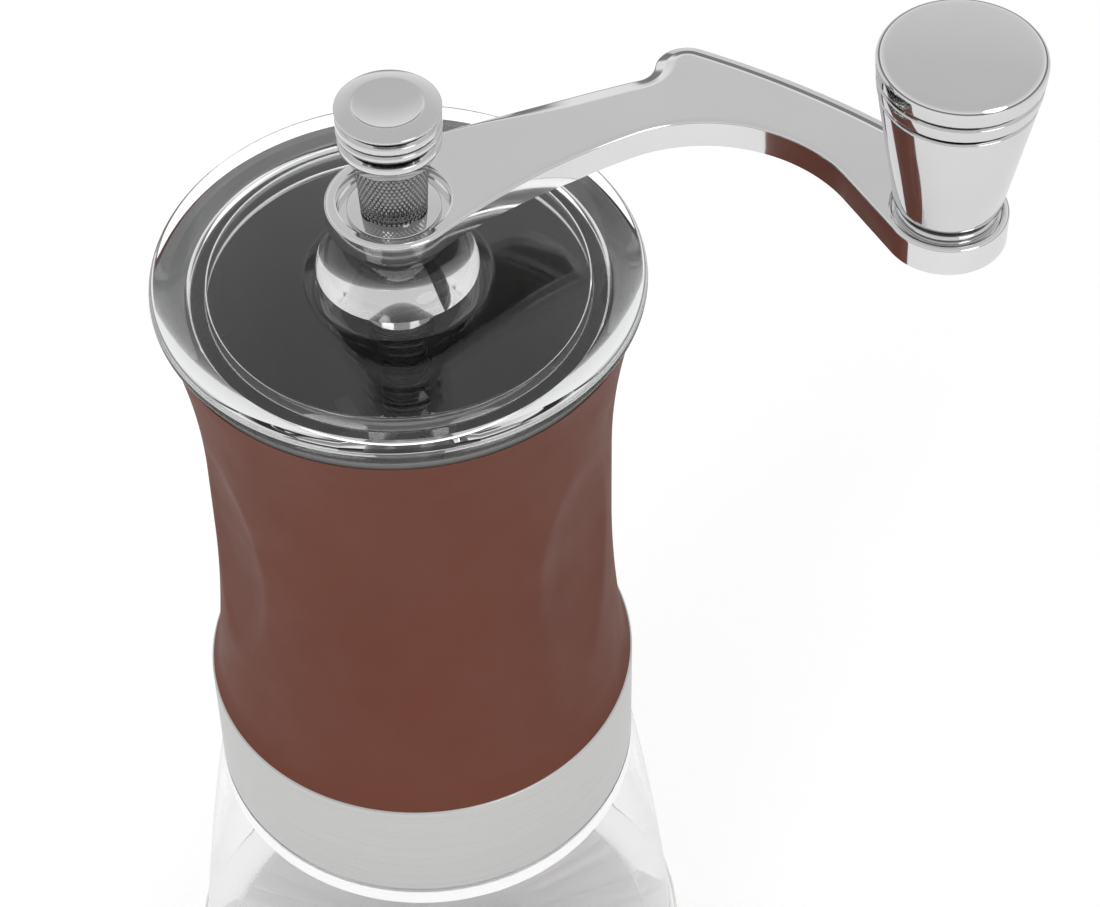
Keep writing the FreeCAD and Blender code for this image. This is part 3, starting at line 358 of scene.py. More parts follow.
def polished(name, color, low=0.04, high=0.09, painted_shade=None, grooves=()):
    """Chromed casting: bright, with faint polishing marks.

    The stretch of painted shade has its two heights and its darker colour, and each of the grooves its
    two heights, darkened with painted shade as well.
    """
    paint = Paint(name, color, metallic=1.0)
    paint.rough(paint.noise(260.0, 4.0), low, high)
    paint.tint(paint.noise(90.0, 2.0), 0.015)
    # Painted shade: the given stretch of height gets a darker base colour in place of shade and dark
    # reflections.
    if painted_shade:
        paint.repaint(*painted_shade)
    for groove in grooves:
        paint.repaint(*groove, GROOVE_DARK)
    paint.bump(paint.noise(180.0, 2.0), POLISH_DEPTH)
    return paint.material


def brushed(name, color, stretch, low=0.26, high=0.42, grain=0.0):
    """Metal with fine lines left by a belt or a lathe; with a grain they draw its gleams out."""
    paint = Paint(name, color, metallic=1.0)
    if grain:
        around = paint.node("ShaderNodeTangent", direction_type="RADIAL", axis="Z")
        paint.link(around.outputs["Tangent"], paint.shader.inputs["Tangent"])
        paint.shader.inputs["Anisotropic"].default_value = grain
    lines = paint.noise(1.0, 2.0, stretch, 0.6)
    paint.rough(lines, low, high)
    paint.tint(lines, 0.05)
    paint.bump(lines, BRUSH_DEPTH, 0.5)
    return paint.material


def moulded(name, color, roughness=0.45, grain=0.00002, scale=1500.0, amount=0.06, pale=None):
    """Moulded plastic or rubber with a fine even grain.

    The stretch pale has its two heights and its lighter colour, which is painted light.
    """
    paint = Paint(name, color, roughness=roughness)
    texture = paint.noise(scale, 2.0)
    paint.rough(texture, roughness - 0.06, roughness + 0.06)
    paint.tint(paint.noise(60.0, 2.0), amount)
    if pale:
        paint.repaint(*pale)
    paint.bump(texture, grain, 0.6)
    return paint.material


def clear(name, color, index, roughness=0.0):
    """Clear plastic or glass that lets the lamps through, and lets out light long caught in it."""
    paint = Paint(name, color, roughness=roughness)
    paint.shader.inputs["IOR"].default_value = index
    paint.shader.inputs["Transmission Weight"].default_value = 1.0
    paint.rough(paint.noise(70.0, 2.0), roughness, roughness + 0.012)
    paint.bump(paint.noise(45.0, 1.0), 0.000006, 0.4)
    path = paint.node("ShaderNodeLightPath")
    through = paint.node("ShaderNodeBsdfTransparent")
    through.inputs["Color"].default_value = (*color, 1.0)
    late = paint.calc("GREATER_THAN", path.outputs["Ray Depth"], CAUGHT_BOUNCES)
    share = paint.calc("MAXIMUM", path.outputs["Is Shadow Ray"], late)
    mix = paint.blend(share, paint.shader.outputs["BSDF"], through.outputs["BSDF"])
    paint.surface("Material Output", mix)
    return paint.material


def soft_touch(name, color):
    """Rubbery paint: matte, with a pale bloom at grazing angles and a fine sand."""
    paint = Paint(name, color, roughness=0.62)
    sand = paint.noise(2600.0, 2.0)
    paint.rough(paint.noise(120.0, 3.0), 0.56, 0.68)
    paint.tint(paint.noise(35.0, 3.0), 0.04)
    paint.bump(sand, 0.000012, 0.5)
    paint.shader.inputs["Sheen Weight"].default_value = 0.06
    paint.shader.inputs["Sheen Roughness"].default_value = 0.35
    paint.shader.inputs["Sheen Tint"].default_value = (0.95, 0.78, 0.72, 1.0)
    paint.shader.inputs["Specular IOR Level"].default_value = 0.2
    return paint.material


LID_CLEAR = clear("lid_clear", (0.97, 0.975, 0.975), 1.49)
JAR_GLASS = clear("jar_glass", (0.955, 0.95, 0.955), 1.45)
GRIP_SOFT = soft_touch("grip_soft", (0.153, 0.049, 0.0315))
RIM_LOW = LID_PLANE - 4.2
# Painted light: the liner's rim, from RIM_LOW up to the lid's plane, is lightened to 0.14 grey in place
# of light on it under the clear lid.
LINER = moulded("liner_plastic", (0.055, 0.053, 0.052), 0.4,
                pale=(RIM_LOW, LID_PLANE, (0.14, 0.14, 0.14)))
BUSH = moulded("bush_plastic", (0.02, 0.02, 0.02), 0.35)
PLATE = moulded("plate_plastic", (0.03, 0.03, 0.03), 0.5)
FOOT = clear("foot_rubber", (0.95, 0.95, 0.945), 1.41, 0.3)
GASKET = moulded("gasket_rubber", (0.55, 0.55, 0.53), 0.5)
CERAMIC = moulded("burr_ceramic", (0.74, 0.72, 0.68), 0.55, 0.00002, 2200.0, 0.04)
BAND = brushed("band_steel", (0.66, 0.66, 0.655), (14.0, 14.0, 5200.0), grain=0.75)
SHAFT = brushed("shaft_steel", (0.5, 0.5, 0.5), (30.0, 30.0, 4500.0), 0.2, 0.32)
DIAL = brushed("dial_steel", (0.55, 0.55, 0.54), (60.0, 60.0, 5000.0), 0.22, 0.36)
SPRING = brushed("spring_steel", (0.5, 0.5, 0.49), (900.0, 900.0, 900.0), 0.2, 0.3)
ARM = polished("arm_metal", (0.82, 0.82, 0.82), 0.05, 0.1)
STEM_LOW = LID_PLANE + 16.2
STEM_TOP = LID_PLANE + 26.5
NUT_GROOVES = tuple((LID_PLANE + low, LID_PLANE + high)
                    for low, high in ((26.6, 27.4), (31.15, 32.15), (33.45, 33.85), (35.4, 36.0)))
# Painted shade and painted dark reflection: the knurled stem, from the nut's foot to STEM_TOP, is
# darkened to 0.3 grey in place of the shade and dark reflections from the arm's hub recess.
NUT = polished("nut_metal", (0.74, 0.74, 0.74), 0.04, 0.08, painted_shade=(NUT_FOOT, STEM_TOP, (0.3, 0.3, 0.3)),
               grooves=NUT_GROOVES)
KNOB_GROOVES = ((KNOB_FOOT + 22.0, KNOB_FOOT + 22.7), (KNOB_FOOT + 25.4, KNOB_FOOT + 25.9))
KNOB = polished("knob_metal", (0.76, 0.76, 0.76), 0.03, 0.07, grooves=KNOB_GROOVES)
RING = polished("knob_washer_metal", (0.8, 0.8, 0.8), 0.04, 0.08)


# Jar and foot

JAR_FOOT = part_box("jar")[0].z / MM
JAR_RADIUS = 47.2
JAR_EDGE = 2.6
JAR_WALL = 3.0
JAR_FLOOR = 4.5
JAR_CORNER = 5.0
SHOULDER = BAND_FOOT - 0.4
SHOULDER_RADIUS = 38.3
NECK_RADIUS = 33.3
NECK_TOP = SHOULDER + 14.4
FLANK_CURVE = 900.0
THREADS = (3.0, 7.0)
THREAD_DEPTH = 0.5
jar_profile = [(0.0, JAR_FOOT), (JAR_RADIUS - JAR_EDGE, JAR_FOOT)]
jar_profile += bulge(jar_profile[-1], (JAR_RADIUS, JAR_FOOT + JAR_EDGE), JAR_EDGE, RIGHT, 8)
jar_profile += bulge((JAR_RADIUS, JAR_FOOT + JAR_EDGE), (SHOULDER_RADIUS, SHOULDER), FLANK_CURVE,
                     RIGHT, 30)[:-1]
jar_profile += rounded([(SHOULDER_RADIUS + 0.3, SHOULDER - 1.0), (SHOULDER_RADIUS, SHOULDER, 0.6),
                        (NECK_RADIUS, SHOULDER)], 5)[1:-1]
for thread in THREADS:
    thread_foot = SHOULDER + thread
    jar_profile += [(NECK_RADIUS, thread_foot - 0.1), (NECK_RADIUS + THREAD_DEPTH, thread_foot + 0.5),
                    (NECK_RADIUS + THREAD_DEPTH, thread_foot + 1.1), (NECK_RADIUS, thread_foot + 1.7)]
jar_profile += rounded([(NECK_RADIUS, SHOULDER + 9.0), (NECK_RADIUS, NECK_TOP, 0.4),
                        (NECK_RADIUS - JAR_WALL, NECK_TOP, 0.4),
                        (NECK_RADIUS - JAR_WALL, SHOULDER - JAR_WALL)], 4)[1:]
jar_profile += [(SHOULDER_RADIUS - JAR_WALL, SHOULDER - 6.0)]
jar_profile += bulge(jar_profile[-1], (JAR_RADIUS - JAR_WALL, JAR_FOOT + JAR_FLOOR + JAR_CORNER),
                     FLANK_CURVE, LEFT, 30)
jar_profile += bulge(jar_profile[-1], (JAR_RADIUS - JAR_WALL - JAR_CORNER, JAR_FOOT + JAR_FLOOR),
                     JAR_CORNER, RIGHT, 10)
jar_profile += [(0.0, JAR_FOOT + JAR_FLOOR)]
turned_piece("jar_body", jar_profile, JAR_GLASS, "jar", "jar_glass", "jar", closed=False)

CUP_RADIUS = 48.28
CUP_INSIDE = 47.3
CUP_EDGE = 1.0
CUP_TOP = 6.0
CUP_FLOOR = 2.0
cup_profile = [(0.0, 0.0), (CUP_INSIDE, 0.0)]
cup_profile += bulge((CUP_RADIUS - CUP_EDGE, 0.0), (CUP_RADIUS, CUP_EDGE), CUP_EDGE, RIGHT, 6)
cup_profile += [(CUP_RADIUS, CUP_TOP - 0.3), (CUP_RADIUS - 0.28, CUP_TOP), (CUP_INSIDE + 0.2, CUP_TOP),
                (CUP_INSIDE, CUP_TOP - 0.2), (CUP_INSIDE, CUP_FLOOR), (0.0, CUP_FLOOR)]
turned_piece("foot_cup", cup_profile, FOOT, "jar", "foot_rubber", "jar_foot", closed=False)


# Band and grip

BAND_RADIUS = 38.4
BAND_WALL = 2.0
BAND_TOP = BAND_FOOT + 23.5
band_profile = rounded([(BAND_RADIUS - BAND_WALL, BAND_FOOT), (BAND_RADIUS, BAND_FOOT, 0.4),
                        (BAND_RADIUS, BAND_TOP, 0.4), (BAND_RADIUS - BAND_WALL, BAND_TOP)], 5)
turned_piece("band_ring", band_profile, BAND, "housing", "band_steel", "trim_band")

WAIST = 34.55
WAIST_LOW = 40.0
WAIST_HIGH = 55.0
GRIP_FOOT = 38.1
GRIP_LIP = (36.6, 5.5)
LIP_CURVE = 16.0
GRIP_TOP = 38.8
GRIP_AROUND = 360
GRIP_STEPS = 140
SLEEVE_HEIGHT = 91.5
SLEEVE_WALL = 3.4
RIM_STEP = SLEEVE_HEIGHT - 2.3
INSIDE_HEIGHTS = (20.0, WAIST_LOW, WAIST_HIGH, 70.0, 80.0)

# A ball outside the grip cuts each dimple, one in each sector of so many degrees.
SECTOR = 60.0
DIMPLE_CURVE = 115.0
DIMPLE_REACH = WAIST - 2.1 + DIMPLE_CURVE
DIMPLE_HEIGHT = 45.0
DIMPLE_BLEND = 0.35


def flare(off, rise, run):
    """How far an arc that leaves a vertical line has risen at a way off, if it rises by rise over run."""
    curve = (run ** 2 + rise ** 2) / (2 * rise)
    return curve - math.sqrt(curve ** 2 - off ** 2)


def waist_radius(height, top=SLEEVE_HEIGHT):
    """Outer radius of the grip without its dimples."""
    if height < GRIP_LIP[1]:
        lip = [(GRIP_FOOT, 0.0)] + bulge((GRIP_FOOT, 0.0), GRIP_LIP, LIP_CURVE, LEFT, 20)
        for (r0, z0), (r1, z1) in zip(lip, lip[1:]):
            if z0 <= height <= z1:
                return r0 + (r1 - r0) * (height - z0) / (z1 - z0)
    if height < WAIST_LOW:
        return WAIST + flare(WAIST_LOW - height, GRIP_LIP[0] - WAIST, WAIST_LOW - GRIP_LIP[1])
    if height < WAIST_HIGH:
        return WAIST
    return WAIST + flare(height - WAIST_HIGH, GRIP_TOP - WAIST, top - WAIST_HIGH)


def inner_radius(height):
    """Inner radius of the grip."""
    return waist_radius(max(height, GRIP_LIP[1]), RIM_STEP) - SLEEVE_WALL


def dimpled_radius(angle, height):
    """Outer radius of the grip with the six dimples, their edges softened."""
    plain = waist_radius(height)
    off = (math.degrees(angle) + 90.0 + SECTOR / 2) % SECTOR - SECTOR / 2
    reach = DIMPLE_REACH * math.cos(math.radians(off))
    inside = reach ** 2 - (DIMPLE_REACH ** 2 + (height - DIMPLE_HEIGHT) ** 2 - DIMPLE_CURVE ** 2)
    if inside <= 0:
        return plain
    scooped = reach - math.sqrt(inside)
    blend = max(0.0, DIMPLE_BLEND - abs(plain - scooped)) / DIMPLE_BLEND
    return min(plain, scooped) - blend * blend * DIMPLE_BLEND / 4


grip = Shape()
grip_rings = []
for step in range(GRIP_STEPS + 1):
    height = SLEEVE_HEIGHT * step / GRIP_STEPS
    grip_rings.append(grip.wavy(lambda a: dimpled_radius(a, height), SLEEVE_FOOT + height, GRIP_AROUND))
for height in (RIM_STEP, *reversed(INSIDE_HEIGHTS), GRIP_LIP[1], 0.0):
    grip_rings.append(grip.circle(inner_radius(height), SLEEVE_FOOT + height, GRIP_AROUND))
grip.stack(grip_rings, closed=True)
grip.make("grip_skin", GRIP_SOFT, "housing", "grip_soft", "grip_sleeve")


# Casing: hopper, pocket, hub and webs; heights are above the sleeve's foot

LINER_WALL = 2.0
SKIRT = BAND_RADIUS - BAND_WALL
SKIRT_FOOT = -23.1
POCKET = 23.2
POCKET_FOOT = -9.5
POCKET_TOP = 14.5
THROAT = 20.0
HOPPER_HEIGHTS = (86.0, 82.0, 78.0, 74.0, 70.0, 66.0, 62.0, 58.0, WAIST_HIGH, WAIST_LOW)
liner_profile = [(SKIRT, SKIRT_FOOT), (SKIRT, 0.0), (GRIP_LIP[0] - SLEEVE_WALL, 0.0),
                 (GRIP_LIP[0] - SLEEVE_WALL, GRIP_LIP[1])]
liner_profile += [(inner_radius(height), height) for height in INSIDE_HEIGHTS]
liner_profile += rounded([(GRIP_TOP - SLEEVE_WALL, RIM_STEP), (38.5, RIM_STEP + 2.1),
                          (38.5, RIM_STEP + 3.1, 0.4), (37.0, RIM_STEP + 3.1, 0.3),
                          (35.2, RIM_STEP + 2.0, 0.3), (34.2, RIM_STEP + 2.0, 0.3), (34.2, RIM_STEP),
                          (GRIP_TOP - SLEEVE_WALL - LINER_WALL, RIM_STEP)], 5)
liner_profile += [(inner_radius(height) - LINER_WALL, height) for height in HOPPER_HEIGHTS]
liner_profile += [(THROAT, POCKET_TOP + 2.0), (THROAT, POCKET_TOP), (POCKET, POCKET_TOP),
                  (POCKET, POCKET_FOOT), (POCKET + 3.3, POCKET_FOOT), (POCKET + 3.3, 8.5),
                  (SKIRT - 5.3, 8.5), (SKIRT - 5.3, -7.5), (SKIRT - 2.4, -7.5), (SKIRT - 2.4, SKIRT_FOOT)]
casing = Shape()
casing.turn([(radius, SLEEVE_FOOT + height) for radius, height in liner_profile])

HUB_BORE = 6.0
HUB_WALL = 8.6
HUB_LOW = SLEEVE_FOOT + 18.7
HUB_HIGH = SLEEVE_FOOT + 54.5
casing.turn(rounded([(HUB_BORE, HUB_LOW), (HUB_WALL, HUB_LOW), (HUB_WALL, HUB_HIGH, 0.6),
                     (HUB_BORE, HUB_HIGH)], 4), count=128)

WEBS = 3
WEB_HALF = 1.5
WEB_PLAN = ((8.2, 18.7), (21.0, 18.7), (29.9, 39.0), (27.15, 39.0), (8.2, 36.0))
for web in range(WEBS):
    angle = TURN * web / WEBS
    sides = []
    for offset in (-WEB_HALF, WEB_HALF):
        sides.append(casing.ring([(r * math.cos(angle) - offset * math.sin(angle),
                                   r * math.sin(angle) + offset * math.cos(angle),
                                   SLEEVE_FOOT + height) for r, height in WEB_PLAN]))
    casing.bridge(*sides)
    casing.faces.append(tuple(sides[0]))
    casing.faces.append(tuple(reversed(sides[1])))
casing.make("casing", LINER, "housing", "liner_plastic", "hopper_liner")


# Lid and its bush

LID_RADIUS = 40.4
LID_EDGE = 1.0
SKIRT_OUT = 33.7
SKIRT_IN = 31.2
LID_SEAT = LID_PLANE - 3.9
LID_FOOT = LID_SEAT - 1.85
LID_TOP = LID_PLANE + LID_EDGE
LID_UNDER = LID_PLANE - 1.0
BOSS_FOOT = (13.2, LID_TOP + 1.6)
BOSS_NECK = (8.9, LID_PLANE + 8.4)
BOSS_CURVE = 5.9
BOSS_TOP = LID_PLANE + BOSS_HEIGHT
BUSH_BORE = 4.1
BUSH_RADIUS = 5.5
BUSH_LIP = 7.4
lid_profile = [(BUSH_RADIUS, LID_UNDER)]
lid_profile += rounded([(7.5, LID_UNDER), (SKIRT_IN, LID_UNDER, 0.4), (SKIRT_IN, LID_FOOT, 0.3),
                        (SKIRT_OUT, LID_FOOT, 0.3), (SKIRT_OUT + 0.6, LID_SEAT + 0.6)], 8)[1:]
lid_profile += bulge(lid_profile[-1], (LID_RADIUS - 0.45, LID_PLANE - 0.75), 24.0, RIGHT)
lid_profile += bulge(lid_profile[-1], (LID_RADIUS - LID_EDGE, LID_TOP), LID_EDGE, RIGHT, 14)
lid_profile += rounded([(19.4, LID_TOP), (15.4, LID_TOP, 1.5), BOSS_FOOT], 10)[1:]
lid_profile += bulge(BOSS_FOOT, BOSS_NECK, BOSS_CURVE, RIGHT, 28)
lid_profile += [(BUSH_LIP, BOSS_TOP), (BUSH_RADIUS, BOSS_TOP)]
turned_piece("lid_shell", lid_profile, LID_CLEAR, "lid", "lid_clear", "hopper_lid", count=640)

BUSH_TOP = BOSS_TOP + 0.4
bush_profile = rounded([(BUSH_BORE, LID_UNDER), (BUSH_RADIUS, LID_UNDER), (BUSH_RADIUS, BOSS_TOP),
                        (BUSH_LIP, BOSS_TOP), (BUSH_LIP, BUSH_TOP, 0.15), (BUSH_BORE, BUSH_TOP)], 4)
turned_piece("lid_collar", bush_profile, BUSH, "lid", "bush_plastic", "lid_bush")


# Crank

HUB_RADIUS = 11.0
END_RADIUS = 9.9
ARM_THICK = 5.8
HUB_THICK = 4.2
RELIEF_START = 28.0
RELIEF_RUN = 17.0
HUB_RECESS = (9.1, 2.4)
END_RECESS = (8.8, 0.8)
FRONT_SWEEP = 110.0
BOW = 25.5
BACK_RUN = 150.0
PEAK = 5.4
PEAK_STEP = 5.3
BACK_SWEEP = 400.0
POINT_GAP = 0.8
POINT_ANGLE = 0.06

# Edges of the top as pairs of inset and drop. The back's wide bevel starts behind the hub, turns
# from flat to steep near the middle, and ends before the knob. x is along the crank.
STEEP_BEVEL = ((3.65, 0.0), (3.5, 0.02), (3.35, 0.055), (3.1, 0.12), (3.0, 0.156), (2.1, 0.484),
               (2.0, 0.522), (1.9, 0.566), (1.8, 0.616), (0.45, 1.305), (0.35, 1.355), (0.18, 1.44),
               (0.05, 1.54), (0.0, 1.68))
FLAT_BEVEL = ((3.0, 0.0), (2.85, 0.02), (2.72, 0.05), (2.6, 0.08), (2.5, 0.106), (1.8, 0.288),
              (1.7, 0.314), (1.6, 0.34), (1.5, 0.366), (0.5, 0.626), (0.4, 0.652), (0.2, 0.72),
              (0.06, 0.84), (0.0, 1.0))
FRONT_BEVEL = (0.88, 0.65)
BEVEL_START = 6.0
BEVEL_RISE = 22.0
BEVEL_END = 88.0
BEVEL_FALL = 9.0
STEEP_START = 37.0
STEEP_RISE = 5.0
V2 = mathutils.Vector


def crossing(one, reach_one, two, reach_two, side):
    """Where circles about two points meet, left or right of the way from one to two."""
    gap = two - one
    along = (gap.length_squared + reach_one ** 2 - reach_two ** 2) / (2 * gap.length)
    off = math.sqrt(reach_one ** 2 - along ** 2)
    way = gap.normalized()
    return one + way * along + V2((-way.y, way.x)) * side * off


def bearing(centre, point):
    """Direction of a point seen from a centre."""
    return math.atan2(point.y - centre.y, point.x - centre.x)


hub_at = V2((0.0, 0.0))
end_at = V2((KNOB_AXIS, 0.0))
bow_at = end_at + V2((-37.3, -6.7))
peak_at = end_at + V2((-40.7, 33.0))
step_at = peak_at + V2((-math.sqrt((PEAK + PEAK_STEP) ** 2 - 1.0), 1.0))
front_at = crossing(hub_at, FRONT_SWEEP + HUB_RADIUS, bow_at, FRONT_SWEEP - BOW, RIGHT)
back_at = crossing(end_at, BACK_RUN - END_RADIUS, peak_at, BACK_RUN - PEAK, LEFT)
sweep_at = crossing(hub_at, BACK_SWEEP - HUB_RADIUS, step_at, BACK_SWEEP + PEAK_STEP, RIGHT)
square = bearing(bow_at, end_at) + math.acos((BOW + END_RADIUS) / (end_at - bow_at).length)

# Each arc: centre, radius, from, to, 1 if its outside is away from the centre, name.
# They run counter-clockwise round the crank, the hollow ones turned over.
ARCS = (
    (hub_at, HUB_RADIUS, bearing(sweep_at, hub_at), bearing(hub_at, front_at), 1, "hub"),
    (front_at, FRONT_SWEEP, bearing(front_at, hub_at), bearing(front_at, bow_at), -1, "front"),
    (bow_at, BOW, bearing(front_at, bow_at), square, -1, "front"),
    (end_at, END_RADIUS, square + math.pi, bearing(back_at, end_at), 1, "end"),
    (back_at, BACK_RUN, bearing(back_at, end_at), bearing(back_at, peak_at), 1, "back"),
    (peak_at, PEAK, bearing(back_at, peak_at), bearing(peak_at, step_at), 1, "back"),
    (step_at, PEAK_STEP, bearing(peak_at, step_at) + math.pi, bearing(step_at, sweep_at) + TURN, -1,
     "back"),
    (sweep_at, BACK_SWEEP, bearing(sweep_at, step_at), bearing(sweep_at, hub_at), 1, "back"),
)


def arm_loop():
    """Points round the crank with their outward directions and the name of their stretch."""
    loop = []
    for centre, radius, start, end, outward, name in ARCS:
        swing = end - start
        while swing * outward < 0 and abs(swing) < math.pi * 1.5:
            swing += TURN * outward
        while abs(swing) > TURN:
            swing -= math.copysign(TURN, swing)
        steps = max(8, int(abs(swing) * radius / POINT_GAP), int(abs(swing) / POINT_ANGLE))
        for i in range(steps):
            angle = start + swing * i / steps
            way = V2((math.cos(angle), math.sin(angle)))
            loop.append((centre + way * radius, way * outward, name))
    return loop


def ease(value):
    """A soft rise from 0 to 1."""
    value = max(0.0, min(1.0, value))
    return value * value * (3 - 2 * value)


def bevel_share(point, name):
    """How far the top's edge is the back's wide bevel at a point of the outline."""
    if name == "back" or (name in ("hub", "end") and point.y > 0):
        return ease((point.x - BEVEL_START) / BEVEL_RISE) * ease((BEVEL_END - point.x) / BEVEL_FALL)
    return 0.0


def arm_floor(x):
    """Height of the crank's underside, which steps up towards the hub."""
    relief = ARM_THICK - HUB_THICK
    return ARM_TOP - ARM_THICK + relief * max(0.0, min(1.0, (RELIEF_START - x) / RELIEF_RUN))


def hole(shape, centre, radius, depth, count=128):
    """A round recess in the top with a soft rim; gives its outer ring, for the top face to meet."""
    levels = ((radius + 0.3, 0.0), (radius + 0.09, 0.09), (radius, 0.3), (radius, depth - 0.25),
              (radius - 0.25, depth), (0.0, depth))
    rings = [shape.circle(r, ARM_TOP - deep, count, centre.x, centre.y) for r, deep in levels]
    shape.stack(rings)
    shape.harden(rings[0])
    shape.harden(rings[-2])
    return rings[0]


def fill(shape, loops):
    """Triangles across flat loops of points, the first the outside and the others holes."""
    outlines = [[mathutils.Vector(shape.points[i]) for i in ring] for ring in loops]
    flat = [i for ring in loops for i in ring]
    for triangle in mathutils.geometry.tessellate_polygon(outlines):
        shape.faces.append(tuple(flat[i] for i in triangle))


loop = arm_loop()
arm = Shape()
arm_rings = []
for step, (steep, flat) in enumerate(zip(STEEP_BEVEL, FLAT_BEVEL)):
    lean = math.pi / 2 * step / (len(STEEP_BEVEL) - 1)
    front = V2((FRONT_BEVEL[0] * (1 - math.sin(lean)), FRONT_BEVEL[1] * (1 - math.cos(lean))))
    places = []
    for point, way, name in loop:
        back = V2(flat).lerp(V2(steep), ease((point.x - STEEP_START) / STEEP_RISE))
        inset, drop = front.lerp(back, bevel_share(point, name))
        place = point - way * inset
        places.append((place.x, place.y, ARM_TOP - drop))
    arm_rings.append(arm.ring(places))
for inset, rise in ((0.0, 0.4), (0.4, 0.0)):
    places = []
    for point, way, name in loop:
        place = point - way * inset
        places.append((place.x, place.y, arm_floor(point.x) + rise))
    arm_rings.append(arm.ring(places))
arm.stack(arm_rings)
arm.harden(arm_rings[0])
arm.harden(arm_rings[-1])
hub_hole = hole(arm, hub_at, *HUB_RECESS)
end_hole = hole(arm, end_at, *END_RECESS)
fill(arm, [arm_rings[0], hub_hole, end_hole])
fill(arm, [arm_rings[-1]])

ARM_BORE = 3.3
COLLAR_RADIUS = 8.4
COLLAR_FOOT = LID_PLANE + 9.2
COLLAR_TOP = ARM_TOP - 3.6
arm.turn(rounded([(ARM_BORE, COLLAR_FOOT), (COLLAR_RADIUS, COLLAR_FOOT, 0.3), (COLLAR_RADIUS, COLLAR_TOP),
                  (ARM_BORE, COLLAR_TOP)], 4), count=128)
arm.make("crank_bar", ARM, "arm", "arm_metal", "crank_arm", angle=40.0)


# Nut and its washer

KNURLS = 44
KNURL_PITCH = 0.72
KNURL_DEEP = 0.22
KNURL_SLOPE = 1.6
KNURL_FADE = 0.5
NUT_AROUND = 352
STEM_RADIUS = 5.4
STEM_FLARE = 0.45
STEM_STEPS = 104
DISH_TOP = LID_PLANE + 37.22
DISH_FOOT = LID_PLANE + 36.45

# Corners of the nut's head: radius, height above the lid's plane, fillet
NUT_RIDGES = ((7.2, 27.6, 0.5), (8.2, 29.8, 0.5), (8.2, 30.9, 0.3), (7.0, 31.3, 0.1), (7.0, 32.0, 0.1),
              (8.35, 32.3, 0.3), (8.35, 33.3, 0.25), (7.9, 33.5, 0.08), (7.9, 33.8, 0.08),
              (8.35, 34.0, 0.25), (8.35, 35.2, 0.3), (7.4, 35.5, 0.1), (7.4, 35.9, 0.1),
              (8.4, 36.2, 0.3), (8.4, 36.8, 0.25))


def knurled_radius(angle, height):
    """Radius of the nut's stem with the crossed grooves, which fade out at its ends."""
    across = angle / TURN * KNURLS
    along = height / KNURL_PITCH / 2
    first = abs(2 * ((across + along) % 1.0) - 1)
    second = abs(2 * ((across - along) % 1.0) - 1)
    fade = min(1.0, (height - STEM_LOW) / KNURL_FADE, (STEM_TOP - height) / KNURL_FADE)
    deep = KNURL_DEEP * (1 - min(1.0, KNURL_SLOPE * min(first, second))) * max(0.0, fade)
    return STEM_RADIUS + STEM_FLARE * (height - STEM_LOW) / (STEM_TOP - STEM_LOW) - deep


nut_foot = [(3.05, NUT_FOOT), (4.8, NUT_FOOT), (5.0, NUT_FOOT + 0.2), (5.0, STEM_LOW - 0.35),
            (5.25, STEM_LOW - 0.1)]
nut_head = rounded([(5.8, STEM_TOP), (5.95, STEM_TOP + 0.4, 0.3)]
                   + [(radius, LID_PLANE + height, fillet) for radius, height, fillet in NUT_RIDGES]
                   + [(7.2, LID_PLANE + 37.07), (5.9, LID_PLANE + 37.35)], 5)[1:]
nut_head += bulge(nut_head[-1], (5.5, DISH_TOP), 0.6, RIGHT, 5)
nut_head += bulge(nut_head[-1], (0.001, DISH_FOOT), 20.0, LEFT, 16)[:-1]
nut_head += [(0.0, DISH_FOOT)]

nut = Shape()
nut_rings = [nut.circle(radius, height, NUT_AROUND) for radius, height in nut_foot]
for step in range(STEM_STEPS + 1):
    height = STEM_LOW + (STEM_TOP - STEM_LOW) * step / STEM_STEPS
    nut_rings.append(nut.wavy(lambda a: knurled_radius(a, height), height, NUT_AROUND))
nut_rings += [nut.circle(radius, height, NUT_AROUND) for radius, height in nut_head]
nut.stack(nut_rings)
nut.make("thumb_nut", NUT, "nut", "nut_metal", "arm_nut")

WASHER_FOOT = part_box("nut_washer")[0].z / MM
BORE = 3.1
washer = rounded([(BORE, WASHER_FOOT), (7.6, WASHER_FOOT, 0.2), (7.6, WASHER_FOOT + 0.8, 0.25),
                  (BORE, WASHER_FOOT + 0.8)], 4)
turned_piece("nut_ring", washer, RING, "nut_rest", "shaft_steel", "nut_washer")


# Knob, its cap, washer and spacer

CAP_FOOT = KNOB_FOOT + 25.7
knob = rounded([(BORE, KNOB_FOOT), (8.6, KNOB_FOOT, 0.5), (12.4, KNOB_FOOT + 21.9, 0.3),
                (11.4, KNOB_FOOT + 22.1, 0.1), (11.4, KNOB_FOOT + 22.6, 0.1),
                (12.65, KNOB_FOOT + 22.9, 0.3), (12.9, KNOB_FOOT + 25.2, 0.3),
                (11.7, KNOB_FOOT + 25.5, 0.1), (11.7, CAP_FOOT), (5.6, CAP_FOOT)], 5)
turned_piece("knob_body", knob, KNOB, "knob", "knob_metal", "knob_grip", axis=KNOB_AXIS, count=320)

CAP_CROWN = 4.59
cap = [(0.0, CAP_FOOT)]
cap += rounded([(11.0, CAP_FOOT), (11.7, CAP_FOOT, 0.1), (13.0, CAP_FOOT + 0.4, 0.3),
                (13.2, CAP_FOOT + 3.95, 1.7), (10.0, CAP_FOOT + 4.3)], 8)[1:-1]
cap += bulge(cap[-1], (0.0, CAP_FOOT + CAP_CROWN), 150.0, RIGHT, 16)
cap = [(max(radius, 0.0), height) for radius, height in cap]
turned_piece("knob_top", cap, KNOB, "knob", "knob_metal", "knob_cap", axis=KNOB_AXIS, count=320,
             closed=False)

